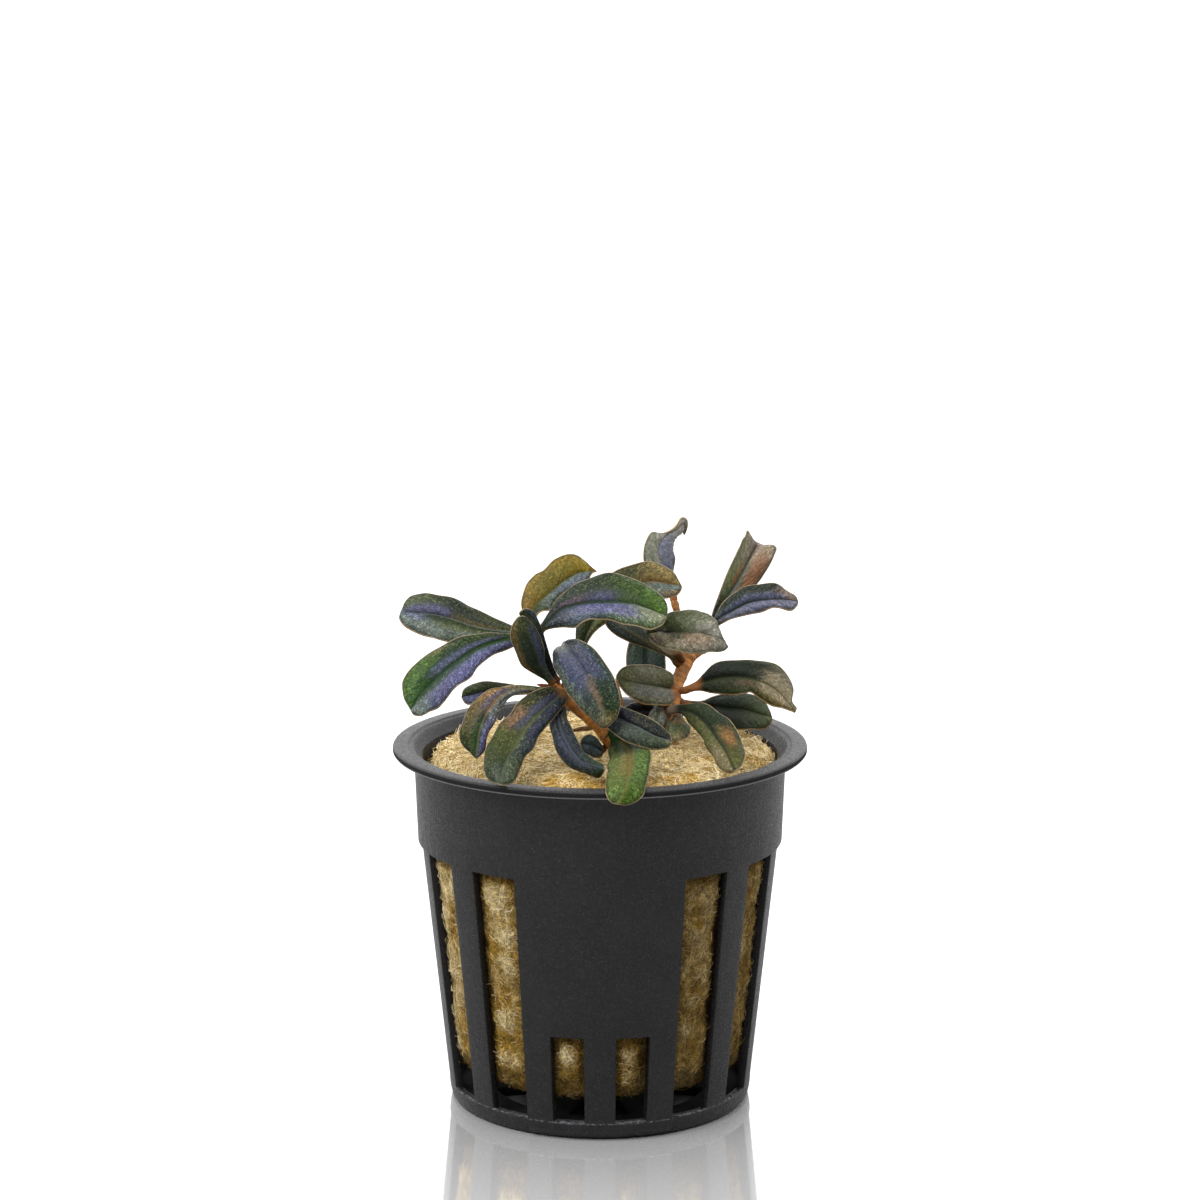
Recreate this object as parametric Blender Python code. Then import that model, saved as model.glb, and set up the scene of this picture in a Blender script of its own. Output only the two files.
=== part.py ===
"""A bucephalandra in a small net pot.

Two rhizomes with long, wavy-edged leaves are planted in the slit of a stone wool plug, which sits in
a tapered black pot with slotted sides. Everything is at its real size. The origin is the middle of
the pot's underside, +Z is up, and the photographed side looks along -Y.
"""

from math import cos, pi, radians, sin

import bmesh
import bpy
import numpy as np

MM = 0.001
SHARP_ANGLE = radians(35)

# Driving dimensions of the pot, in millimetres

POT_SEGMENTS = 60
POT_RIM_RADIUS = 25.0
POT_HEIGHT = 44.0
WALL = 1.0
FLOOR = 1.2
FOOT_RADIUS = 17.6
STRUT_RADIUS_LOW = 18.25
STRUT_RADIUS_HIGH = 21.65
COLLAR_EDGE = 32.2
COLLAR_RADIUS_LOW = 22.05
COLLAR_RADIUS_HIGH = 22.45
COLLAR_PROUD = COLLAR_RADIUS_LOW - STRUT_RADIUS_HIGH
FOOT_BEVEL = 0.35
LIP_BEVEL = 0.3
FLANGE_THICKNESS = 1.0
FLANGE_INNER_RADIUS = 22.6
LIP_DEPTH = 1.4

# Slots in the pot's side, with their angles from the front panel's middle

SLOT_LOW = 2.2
SLOT_REACH_IN = 14.5
CUT_MARGIN = 1.0
LONG_SLOT_ANGLE = 16.5
LONG_SLOT_PITCH = 27.4
LONG_SLOTS_PER_SIDE = 5
SHORT_SLOT_TOP = 13.0
SHORT_SLOT_ANGLE = 11.5
SHORT_SLOT_PLACE = 11.25
PANEL_HALF_ANGLE = 26.95
DRAIN_COUNT = 6
DRAIN_ANGLE = 32.0
DRAIN_INNER_RADIUS = 8.0
DRAIN_OUTER_RADIUS = 13.0

# The stone wool plug

WOOL_LOW = 5.0
WOOL_TOP = 43.4
WOOL_GAP = 0.35
WOOL_FOOT_BEVEL = 0.4
WOOL_SHOULDER_RADIUS = 20.9
WOOL_SHOULDER_RISE = 7.5
WOOL_SEGMENTS = 40
SLIT_START = 0.5
SLIT_Y = -5.5
SLIT_WIDTH = 0.8
SLIT_DEPTH = 1.4

# Leaves and stems

LEAF_THICKNESS = 0.5
LEAF_STATIONS = 10
TIP_CROWDING = 1.35
STALK_THICKNESS = 0.8
STALK_HALF_WIDTH = 0.45
STALK_SHARE = 0.18
HALF_BLADE_SWELL = 0.12
STEM_SIDES = 8
CURVE_STEPS = 16

# Where the outlines were measured from. A leaf's points are (across, down, y): across and down are
# its place in the 1200 by 1200 picture of the plant, and y is how deep it lies, in millimetres.

EYE_BACK = 392.3
EYE_HEIGHT = 137.2
EYE_DIP = radians(10.94)
SIGHT_SCALE = 3335.0
PICTURE_MIDDLE = 600.0
PIXELS_PER_MM = 8.3

# Colours

POT_BLACK = (0.022, 0.021, 0.023, 1.0)
WOOL_CREAM = (0.62, 0.47, 0.24, 1.0)
RHIZOME_ORANGE = (0.42, 0.11, 0.03, 1.0)
STALK_GOLD = (0.45, 0.27, 0.08, 1.0)
BUD_PINK = (0.55, 0.22, 0.16, 1.0)
LEAF_GREEN = (0.035, 0.085, 0.03, 1.0)
LEAF_BRIGHT = (0.09, 0.2, 0.03, 1.0)
LEAF_OLIVE = (0.1, 0.09, 0.035, 1.0)
LEAF_GOLD = (0.3, 0.17, 0.02, 1.0)
LEAF_PURPLE = (0.075, 0.07, 0.14, 1.0)
LEAF_DARK = (0.02, 0.028, 0.035, 1.0)
LEAF_GREY = (0.11, 0.125, 0.1, 1.0)


def clear_scene():
    for thing in list(bpy.data.objects):
        bpy.data.objects.remove(thing, do_unlink=True)


def finish(name, colour, roughness=0.5, metallic=0.0):
    """A plain Principled material."""
    material = bpy.data.materials.new(name)
    material.use_nodes = True
    shader = material.node_tree.nodes["Principled BSDF"]
    shader.inputs["Base Color"].default_value = colour
    shader.inputs["Roughness"].default_value = roughness
    shader.inputs["Metallic"].default_value = metallic
    return material


def add_object(name, points, faces, material=None):
    """A mesh object from points in millimetres."""
    mesh = bpy.data.meshes.new(name)
    mesh.from_pydata([tuple(float(c) * MM for c in point) for point in points], [], faces)
    form = bmesh.new()
    form.from_mesh(mesh)
    bmesh.ops.recalc_face_normals(form, faces=form.faces)
    form.to_mesh(mesh)
    form.free()
    thing = bpy.data.objects.new(name, mesh)
    bpy.context.scene.collection.objects.link(thing)
    if material:
        mesh.materials.append(material)
        mesh.shade_smooth()
        mesh.set_sharp_from_angle(angle=SHARP_ANGLE)
    return thing


def cut(target, cutter, name):
    """Takes the cutter's shape out of the target."""
    cutter.hide_render = True
    cutter.display_type = "WIRE"
    modifier = target.modifiers.new(name, "BOOLEAN")
    modifier.operation = "DIFFERENCE"
    modifier.solver = "EXACT"
    modifier.object = cutter


def turned(profile, segments):
    """Points and faces of a profile of (radius, height) turned about Z; its ends are on the axis."""
    points = [(0.0, 0.0, profile[0][1]), (0.0, 0.0, profile[-1][1])]
    for radius, height in profile[1:-1]:
        for k in range(segments):
            angle = 2 * pi * k / segments
            points.append((radius * cos(angle), radius * sin(angle), height))
    rings = len(profile) - 2
    faces = []
    for k in range(segments):
        following = (k + 1) % segments
        faces.append((0, 2 + following, 2 + k))
        last = 2 + (rings - 1) * segments
        faces.append((1, last + k, last + following))
        for ring in range(rings - 1):
            low = 2 + ring * segments
            high = low + segments
            faces.append((low + k, low + following, high + following, high + k))
    return points, faces


def sector(points, faces, middle, half_angle, inner, outer, low, high, steps=1):
    """Adds a block between two radii, two heights and two angles, the angles measured from -Y.

    inner is a pair, the inner radius at the low and at the high end."""
    start = len(points)
    for i in range(steps + 1):
        angle = radians(middle - 90 + half_angle * (2 * i / steps - 1))
        for radius, height in ((inner[0], low), (outer, low), (outer, high), (inner[1], high)):
            points.append((radius * cos(angle), radius * sin(angle), height))
    for i in range(steps):
        here = start + 4 * i
        for k in range(4):
            following = (k + 1) % 4
            faces.append((here + k, here + following, here + 4 + following, here + 4 + k))
    last = start + 4 * steps
    faces.append((start + 3, start + 2, start + 1, start))
    faces.append((last, last + 1, last + 2, last + 3))


def strut_radius(height):
    """Outer radius of the pot's wall between its slots."""
    share = height / COLLAR_EDGE
    return STRUT_RADIUS_LOW + share * (STRUT_RADIUS_HIGH - STRUT_RADIUS_LOW)


def add_net_pot():
    """The tapered pot with its flange, slotted sides and drained floor."""
    inner_top = COLLAR_RADIUS_HIGH - WALL
    flange_under = POT_HEIGHT - FLANGE_THICKNESS
    profile = [
        (0.0, 0.0),
        (FOOT_RADIUS, 0.0),
        ((FOOT_RADIUS + strut_radius(FLOOR) + COLLAR_PROUD) / 2, FOOT_BEVEL),
        (strut_radius(FLOOR) + COLLAR_PROUD, FLOOR),
        (COLLAR_RADIUS_LOW, COLLAR_EDGE),
        (COLLAR_RADIUS_HIGH, flange_under - LIP_BEVEL),
        (COLLAR_RADIUS_HIGH + LIP_BEVEL, flange_under),
        (POT_RIM_RADIUS - LIP_BEVEL, flange_under),
        (POT_RIM_RADIUS, flange_under + LIP_BEVEL),
        (POT_RIM_RADIUS, POT_HEIGHT - LIP_BEVEL),
        (POT_RIM_RADIUS - LIP_BEVEL, POT_HEIGHT),
        (FLANGE_INNER_RADIUS, POT_HEIGHT),
        (FLANGE_INNER_RADIUS - 2 * LIP_BEVEL, POT_HEIGHT - LIP_BEVEL),
        (inner_top, POT_HEIGHT - LIP_DEPTH),
        (STRUT_RADIUS_HIGH - WALL, COLLAR_EDGE),
        (strut_radius(FLOOR) - WALL, FLOOR),
        (0.0, FLOOR),
    ]
    pot = add_object("net_pot", *turned(profile, POT_SEGMENTS), finish("black plastic", POT_BLACK, 0.5))

    points, faces = [], []
    side_half_angle = 90 - PANEL_HALF_ANGLE
    for middle in (90, 270):
        sector(points, faces, middle, side_half_angle,
               (strut_radius(-CUT_MARGIN), strut_radius(COLLAR_EDGE)),
               POT_RIM_RADIUS + CUT_MARGIN, -CUT_MARGIN, COLLAR_EDGE, steps=20)
    cut(pot, add_object("strut recess", points, faces), "strut recess")

    points, faces = [], []
    reach = (SLOT_REACH_IN, SLOT_REACH_IN)
    beyond = POT_RIM_RADIUS + CUT_MARGIN
    for side in (90, 270):
        for k in range(LONG_SLOTS_PER_SIDE):
            middle = side + LONG_SLOT_PITCH * (k - (LONG_SLOTS_PER_SIDE - 1) / 2)
            sector(points, faces, middle, LONG_SLOT_ANGLE / 2, reach, beyond, SLOT_LOW, COLLAR_EDGE)
    for panel in (0, 180):
        for way in (-1, 1):
            sector(points, faces, panel + way * SHORT_SLOT_PLACE, SHORT_SLOT_ANGLE / 2, reach, beyond,
                   SLOT_LOW, SHORT_SLOT_TOP)
    for k in range(DRAIN_COUNT):
        sector(points, faces, k * 360 / DRAIN_COUNT, DRAIN_ANGLE / 2,
               (DRAIN_INNER_RADIUS, DRAIN_INNER_RADIUS), DRAIN_OUTER_RADIUS,
               -CUT_MARGIN, FLOOR + CUT_MARGIN)
    cut(pot, add_object("slots", points, faces), "slots")


def add_wool_plug():
    """The stone wool plug, slit from its middle to its right side."""
    profile = [
        (0.0, WOOL_LOW),
        (strut_radius(WOOL_LOW) - WALL - WOOL_GAP - WOOL_FOOT_BEVEL, WOOL_LOW),
        (strut_radius(WOOL_LOW) - WALL - WOOL_GAP, WOOL_LOW + WOOL_FOOT_BEVEL),
        (STRUT_RADIUS_HIGH - WALL - WOOL_GAP, COLLAR_EDGE),
        (WOOL_SHOULDER_RADIUS, COLLAR_EDGE + WOOL_SHOULDER_RISE),
        (WOOL_SHOULDER_RADIUS, WOOL_TOP - 2.2),
        (WOOL_SHOULDER_RADIUS - 0.5, WOOL_TOP - 0.9),
        (WOOL_SHOULDER_RADIUS - 1.6, WOOL_TOP - 0.25),
        (WOOL_SHOULDER_RADIUS - 6, WOOL_TOP),
        (0.0, WOOL_TOP),
    ]
    plug = add_object("stone_wool_plug", *turned(profile, WOOL_SEGMENTS),
                      finish("stone wool", WOOL_CREAM, 0.95))
    half = SLIT_WIDTH / 2
    over = WOOL_TOP + CUT_MARGIN
    section = ((SLIT_Y, WOOL_TOP - SLIT_DEPTH), (SLIT_Y + half, over), (SLIT_Y - half, over))
    points = [(x, y, z) for x in (SLIT_START, POT_RIM_RADIUS) for y, z in section]
    faces = [(0, 1, 2), (5, 4, 3), (0, 3, 4, 1), (1, 4, 5, 2), (2, 5, 3, 0)]
    cut(plug, add_object("slit", points, faces), "slit")


def place(across, down, y):
    """The point at depth y that is seen at that place of the picture, in millimetres."""
    slope = (down - PICTURE_MIDDLE) / SIGHT_SCALE
    run = y + EYE_BACK
    drop = run * (slope * cos(EYE_DIP) + sin(EYE_DIP)) / (slope * sin(EYE_DIP) - cos(EYE_DIP))
    distance = run * cos(EYE_DIP) - drop * sin(EYE_DIP)
    return np.array(((across - PICTURE_MIDDLE) / SIGHT_SCALE * distance, y, EYE_HEIGHT + drop))


def smooth(points, shares):
    """Points on a smooth curve through the given points, at shares of its length in the picture."""
    knots = np.array(points, dtype=float)
    knots = np.vstack((2 * knots[0] - knots[1], knots, 2 * knots[-1] - knots[-2]))
    fine = []
    for a, b, c, d in zip(knots, knots[1:], knots[2:], knots[3:]):
        for t in np.arange(CURVE_STEPS) / CURVE_STEPS:
            fine.append(0.5 * (2 * b + (c - a) * t + (2 * a - 5 * b + 4 * c - d) * t ** 2
                               + (3 * b - a - 3 * c + d) * t ** 3))
    fine = np.array(fine + [knots[-2]])
    steps = np.linalg.norm(np.diff(fine[:, :2], axis=0), axis=1)
    run = np.concatenate(((0.0,), np.cumsum(steps)))
    at = np.array(shares) * run[-1]
    return np.stack([np.interp(at, run, column) for column in fine.T], axis=-1)


def leaf_rows(rib, left, right, lean, shares, across):
    """The middle surface of a leaf: a row of points from edge to edge for each share of its length."""
    middle = smooth(rib, shares)
    ahead = np.subtract(rib[1][:2], rib[0][:2])
    ahead = ahead / np.linalg.norm(ahead)
    half = STALK_HALF_WIDTH * PIXELS_PER_MM
    left_start = (rib[0][0] + half * ahead[1], rib[0][1] - half * ahead[0])
    right_start = (rib[0][0] - half * ahead[1], rib[0][1] + half * ahead[0])
    left_edge = smooth([left_start, *left, rib[-1][:2]], shares)
    right_edge = smooth([right_start, *right, rib[-1][:2]], shares)
    rows = []
    for (u, v, y), left_point, right_point in zip(middle, left_edge, right_edge):
        row = []
        for s in across:
            (edge_u, edge_v), slope = (left_point, lean[0]) if s < 0 else (right_point, lean[1])
            du, dv = abs(s) * (edge_u - u), abs(s) * (edge_v - v)
            row.append(place(u + du, v + dv, y + slope * np.hypot(du, dv) / PIXELS_PER_MM))
        rows.append(row)
    return np.array(rows)


def leaf(name, colour, rib, left, right, lean):
    """One leaf with its stalk: a lens-shaped blade around the surface between its two edges.

    rib runs from the root to the tip as (across, down, y), left and right are the edges as
    (across, down), seen along the way to the tip. lean says how far each edge goes back for each
    millimetre that it lies beside the rib."""
    shares = [1 - (1 - k / LEAF_STATIONS) ** TIP_CROWDING for k in range(LEAF_STATIONS)]
    across = (-1.0, -0.5, 0.0, 0.5, 1.0)
    rows = leaf_rows(rib, left, right, lean, shares + [1.0], across)
    along = np.gradient(rows, axis=0)
    aside = np.gradient(rows, axis=1)
    normals = np.cross(aside, along)
    normals /= np.maximum(np.linalg.norm(normals, axis=2, keepdims=True), 1e-9)
    widths = np.linalg.norm(rows[:, -1] - rows[:, 0], axis=1)
    points, faces = [], []
    columns = len(across)
    for i, share in enumerate(shares):
        stalk = max(0.0, 1 - share / STALK_SHARE)
        half = (LEAF_THICKNESS + stalk * (STALK_THICKNESS - LEAF_THICKNESS)) / 2
        for j, s in enumerate(across):
            swell = HALF_BLADE_SWELL * widths[i] / 2 * (abs(s) == 0.5) * (1 - stalk)
            centre = rows[i, j] + swell * normals[i, j]
            lift = half * (1 - s * s) * normals[i, j]
            points.append(centre + lift)
            if 0 < j < columns - 1:
                points.append(centre - lift)
    ring = 2 * columns - 2
    order = [0] + [1 + 2 * k for k in range(columns - 2)] + [ring - 1]
    order += [2 + 2 * k for k in reversed(range(columns - 2))]
    tip = len(points)
    points.append(rows[-1, columns // 2])
    for i in range(len(shares) - 1):
        for k in range(ring):
            a, b = order[k], order[(k + 1) % ring]
            faces.append((i * ring + a, i * ring + b, (i + 1) * ring + b, (i + 1) * ring + a))
    last = (len(shares) - 1) * ring
    for k in range(ring):
        faces.append((last + order[k], last + order[(k + 1) % ring], tip))
    faces.append(tuple(reversed(order)))
    add_object(name, points, faces, finish(name.replace("_", " "), colour, 0.4))


def stem(name, route, colour, roughness=0.5):
    """A round stem through points of (across, down, y, radius), closed at both ends."""
    shares = np.linspace(0, 1, 2 * len(route) - 1)
    line = smooth(route, shares)
    centres = np.array([place(*point[:3]) for point in line])
    ways = np.gradient(centres, axis=0)
    ways /= np.linalg.norm(ways, axis=1, keepdims=True)
    points, faces = [], []
    for centre, way, radius in zip(centres, ways, line[:, 3]):
        side = np.cross(way, (0.0, 1.0, 0.0))
        side /= np.linalg.norm(side)
        other = np.cross(way, side)
        for k in range(STEM_SIDES):
            angle = 2 * pi * k / STEM_SIDES
            points.append(centre + radius * (cos(angle) * side + sin(angle) * other))
    for i in range(len(centres) - 1):
        for k in range(STEM_SIDES):
            a, b = i * STEM_SIDES + k, i * STEM_SIDES + (k + 1) % STEM_SIDES
            faces.append((a, b, b + STEM_SIDES, a + STEM_SIDES))
    last = (len(centres) - 1) * STEM_SIDES
    faces.append(tuple(reversed(range(STEM_SIDES))))
    faces.append(tuple(range(last, last + STEM_SIDES)))
    add_object(name, points, faces, finish(name.replace("_", " "), colour, roughness))


def add_left_plant():
    """The left rosette: its rhizome, forks and leaves."""
    stem("left_rhizome",
         [(618, 752.5, -6.5, 0.75), (611, 743, -7.2, 0.8), (602, 731, -8, 0.72), (590, 719, -8.6, 0.68),
          (577, 709, -8.9, 0.7), (567, 699, -8.8, 0.8), (555, 689.5, -8.5, 0.7)],
         RHIZOME_ORANGE)
    stem("left_stem",
         [(557, 685, -7, 0.5), (549, 667, -6.2, 0.5), (541, 651, -5.6, 0.5), (532.5, 632.5, -4.9, 0.5)],
         RHIZOME_ORANGE)
    stem("side_root",
         [(586, 728.5, -8.4, 0.28), (580, 729, -8.2, 0.25), (572, 731, -8, 0.18)],
         STALK_GOLD)
    stem("golden_stalk",
         [(609.5, 730.5, -9, 0.3), (619, 717, -9.2, 0.3), (621, 704, -9, 0.3), (618.5, 692, -8.6, 0.28),
          (616, 681, -8.2, 0.2)],
         STALK_GOLD)
    stem("pink_bud",
         [(546, 686.5, -8.9, 0.3), (542, 685.5, -9, 0.22), (537, 684.5, -9.2, 0.06)],
         BUD_PINK)
    leaf("upper_left_leaf", LEAF_PURPLE,
         rib=[(525, 633.5, -4.4), (510, 632.5, -4), (478, 627.5, -3), (456, 620.5, -2.2),
              (434, 615, -1.4), (400.5, 612.5, -0.2)],
         left=[(511, 637), (480, 642), (446, 642), (431, 638.5), (416, 632.5), (404.5, 626),
               (399, 619)],
         right=[(510, 624.5), (484, 613), (460, 600), (438, 595.5), (424, 593), (412, 594.5),
                (405.5, 601.5)],
         lean=(-0.6, 0.75))
    leaf("long_left_leaf", LEAF_GREEN,
         rib=[(526, 638.5, -5.8), (510, 638.5, -7), (478, 648, -8.9), (449, 668, -10.8),
              (434, 681.5, -12), (419.5, 696.5, -13), (411, 711, -13.6)],
         left=[(511, 648), (493, 655.5), (478, 667.5), (471, 677), (454.5, 689.5), (444.5, 701),
               (438, 708), (430, 711.5), (422, 717), (414, 715.5)],
         right=[(510, 634), (491, 632), (473.5, 634.5), (454.5, 639.5), (438.5, 646.5), (419.5, 660),
                (405, 676), (401.5, 685), (404, 698), (408.5, 707)],
         lean=(-0.6, 0.4))
    leaf("folded_dark_leaf", LEAF_DARK,
         rib=[(553, 683.5, -9.6), (547, 676, -10), (540, 664, -10.6), (534, 645, -11),
              (523, 615.5, -10.4)],
         left=[(544, 679), (531, 671.5), (520.5, 664), (514, 649.5), (510.5, 635), (512, 624.5),
               (517.5, 617)],
         right=[(550, 674), (545.5, 661.5), (542.5, 647), (538, 632), (530.5, 621)],
         lean=(0.3, 0.9))
    leaf("dark_back_leaf", LEAF_DARK,
         rib=[(558, 680, -7.8), (552, 667, -8), (545, 646, -8.2), (537, 624, -8.4), (524, 608, -9.6)],
         left=[(547, 672), (537, 650), (528, 630), (519, 614)],
         right=[(557, 676), (551, 660), (545.5, 642), (540, 625), (533, 611)],
         lean=(0.2, 0.8))
    leaf("golden_leaf", LEAF_GOLD,
         rib=[(531, 628.5, -4.6), (533.5, 609, -3.6), (545.5, 597, -2.6), (556, 588, -1.8),
              (566, 580, -1), (579, 573, -0.4), (597, 571.5, 0)],
         left=[(522, 608), (523.5, 594), (527, 582), (534.5, 574), (544, 569.5), (553, 560),
               (566, 554.5), (576.5, 554.5), (585, 560), (591, 566.5)],
         right=[(538, 615), (550, 611), (555, 602), (566, 592.5), (580.5, 586.5), (588, 580.5),
                (592.5, 573.5)],
         lean=(0.6, -0.6))
    leaf("broad_top_leaf", LEAF_BRIGHT,
         rib=[(538, 637, -6.5), (546, 626, -7.4), (560, 610.5, -8), (577, 605, -8.6),
              (593, 602.8, -9.2), (610, 602.5, -9.8), (630, 603.6, -10.4), (646, 608, -10.8),
              (667, 617, -11)],
         left=[(544, 620), (552, 606), (569, 589), (592, 576.5), (609.5, 573.5), (626.5, 575.5),
               (640, 580.5), (653, 588.5), (663, 599), (667.5, 608)],
         right=[(545, 631), (560, 627.5), (575, 628), (582, 624.5), (593, 620), (608, 619.5),
                (623, 624.5), (640, 627.5), (651.5, 629.5), (662, 626)],
         lean=(0.75, -0.75))
    leaf("arched_centre_leaf", LEAF_PURPLE,
         rib=[(566, 685, -8.1), (563.5, 668, -7.4), (560, 653, -8.2), (563, 645.5, -10.4),
              (576, 659, -12.4), (588, 678, -13.8), (596, 694, -14.8), (603, 708, -15.4),
              (610.5, 725, -15.8)],
         left=[(567.5, 668), (567, 648), (575, 639), (590, 645.5), (600, 655.5), (609, 668), (616, 683),
               (620.5, 697), (620.5, 708), (617, 718)],
         right=[(559.5, 670), (555.5, 657), (552.5, 653.5), (553, 663), (558, 675), (563, 685.5),
                (572, 697.5), (582, 710.5), (594, 723.5), (604, 728.5)],
         lean=(0.3, 0.3))
    leaf("olive_back_leaf", LEAF_OLIVE,
         rib=[(563, 690, -6.8), (573, 668, -5.2), (583, 646, -4.2), (591, 627, -3.4), (606, 604, -2.4),
              (627, 590, -0.8), (649.5, 581.5, 0.6), (682, 587, 1.6)],
         left=[(568, 668), (576, 650), (577, 640), (576, 625), (583, 600), (596, 582), (611.5, 572.5),
               (627, 566.5), (645, 561), (658, 562), (668, 568), (675, 574.5), (679, 581)],
         right=[(583, 656), (588, 642), (596, 631.5), (607, 622), (622, 612), (640, 605), (655, 601),
                (667.5, 598.5), (676, 596.5), (681, 591)],
         lean=(0.6, -0.5))
    leaf("small_back_leaf", LEAF_OLIVE,
         rib=[(546, 691, -7.8), (515, 690.5, -6.2), (487, 691.5, -4.6), (461.5, 698, -3.4)],
         left=[(530, 694), (505, 697), (485, 702), (471, 705.5), (465, 703.5)],
         right=[(537, 687.5), (515, 684.5), (501.5, 682.5), (485, 681.5), (472, 683.3), (463.5, 689)],
         lean=(-0.6, 0.6))
    leaf("arching_left_leaf", LEAF_OLIVE,
         rib=[(547, 693.5, -9.5), (538, 690.5, -10.3), (519, 689.5, -11.6), (501.5, 696, -13.4),
              (491, 707.5, -14.6), (484, 719, -15.4), (479, 734, -16.2), (476.5, 759, -16.8)],
         left=[(538, 693), (522, 693), (511, 697.5), (504, 706), (497, 716.5), (491, 728.5), (487, 740),
               (484, 751.5)],
         right=[(538, 687), (522, 686), (507, 685.5), (492.5, 689), (478, 697), (467.5, 709),
                (462.5, 722), (460.5, 734), (463.5, 746), (470.5, 753.5)],
         lean=(0.4, 0.6))
    leaf("front_left_leaf", LEAF_GREEN,
         rib=[(564, 692, -10.2), (546, 707.5, -12.8), (531, 722, -15), (520.5, 737, -17),
              (512, 751.5, -19), (504.5, 766, -21), (500.5, 785.5, -23.2)],
         left=[(568, 700), (556, 716), (545.5, 728), (538, 738.5), (532, 750), (525, 757.5),
               (522, 766.5), (517.5, 776.5), (510.5, 784)],
         right=[(548.5, 687), (537, 690.5), (526.5, 694.5), (517.5, 703), (510, 714), (500, 722.5),
                (492.5, 734), (487, 748.5), (484, 760.5), (484, 771), (488.5, 780)],
         lean=(0.1, 0.5))
    leaf("dark_hanging_leaf", LEAF_DARK,
         rib=[(558, 702, -10), (558, 714, -11.6), (560.5, 728, -13.8), (566, 741, -15.4),
              (573.5, 753, -17), (584, 763, -18.6), (605.5, 769, -20.6)],
         left=[(566, 709), (568, 719), (572, 729.5), (578, 741), (586.5, 753), (595.5, 760.5),
               (603.5, 764.5)],
         right=[(553, 713), (550, 722), (550, 731), (553, 743), (558.5, 754.5), (567.5, 765),
                (579, 772.5), (591, 776), (600, 777.5)],
         lean=(0.7, 0.2))
    leaf("low_centre_leaf", LEAF_PURPLE,
         rib=[(597, 716.5, -9.3), (605, 715, -10.8), (618, 718, -12.8), (628.5, 723.5, -13.8),
              (639, 728, -14.6), (653, 735.5, -15.4), (672.5, 742.5, -16)],
         left=[(604, 706), (613, 704), (622.5, 706), (632, 709.5), (642, 714), (653.5, 721),
               (664, 727.5), (670, 734)],
         right=[(598, 716), (604, 725), (613, 733.5), (624, 741), (638.5, 746.5), (653, 750),
                (667, 748.5)],
         lean=(0.7, -0.4))
    leaf("green_front_leaf", LEAF_BRIGHT,
         rib=[(613, 738, -9.4), (621, 742, -10.4), (629, 752, -14.2), (630, 764, -19),
              (628.5, 777, -23.6), (625.5, 789, -26.6), (618, 804.5, -27.6)],
         left=[(622, 738), (634, 739), (645, 744), (651.5, 753), (651, 763), (649, 775), (646, 787),
               (643, 795.5), (635.5, 802), (626, 805.5)],
         right=[(611, 742), (609, 750), (608, 763), (606.5, 776.5), (605, 787), (607, 796),
                (611.5, 803)],
         lean=(0.15, 0.15))
    leaf("round_shaded_leaf", LEAF_DARK,
         rib=[(600, 753.5, -8.2), (597, 748.5, -9), (590, 745, -10), (579.5, 744, -10.8)],
         left=[(602, 757), (596, 758), (588, 757), (581.5, 752)],
         right=[(602, 745), (596, 737), (588, 734.5), (581.5, 738.5)],
         lean=(-0.3, 0.6))


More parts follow.
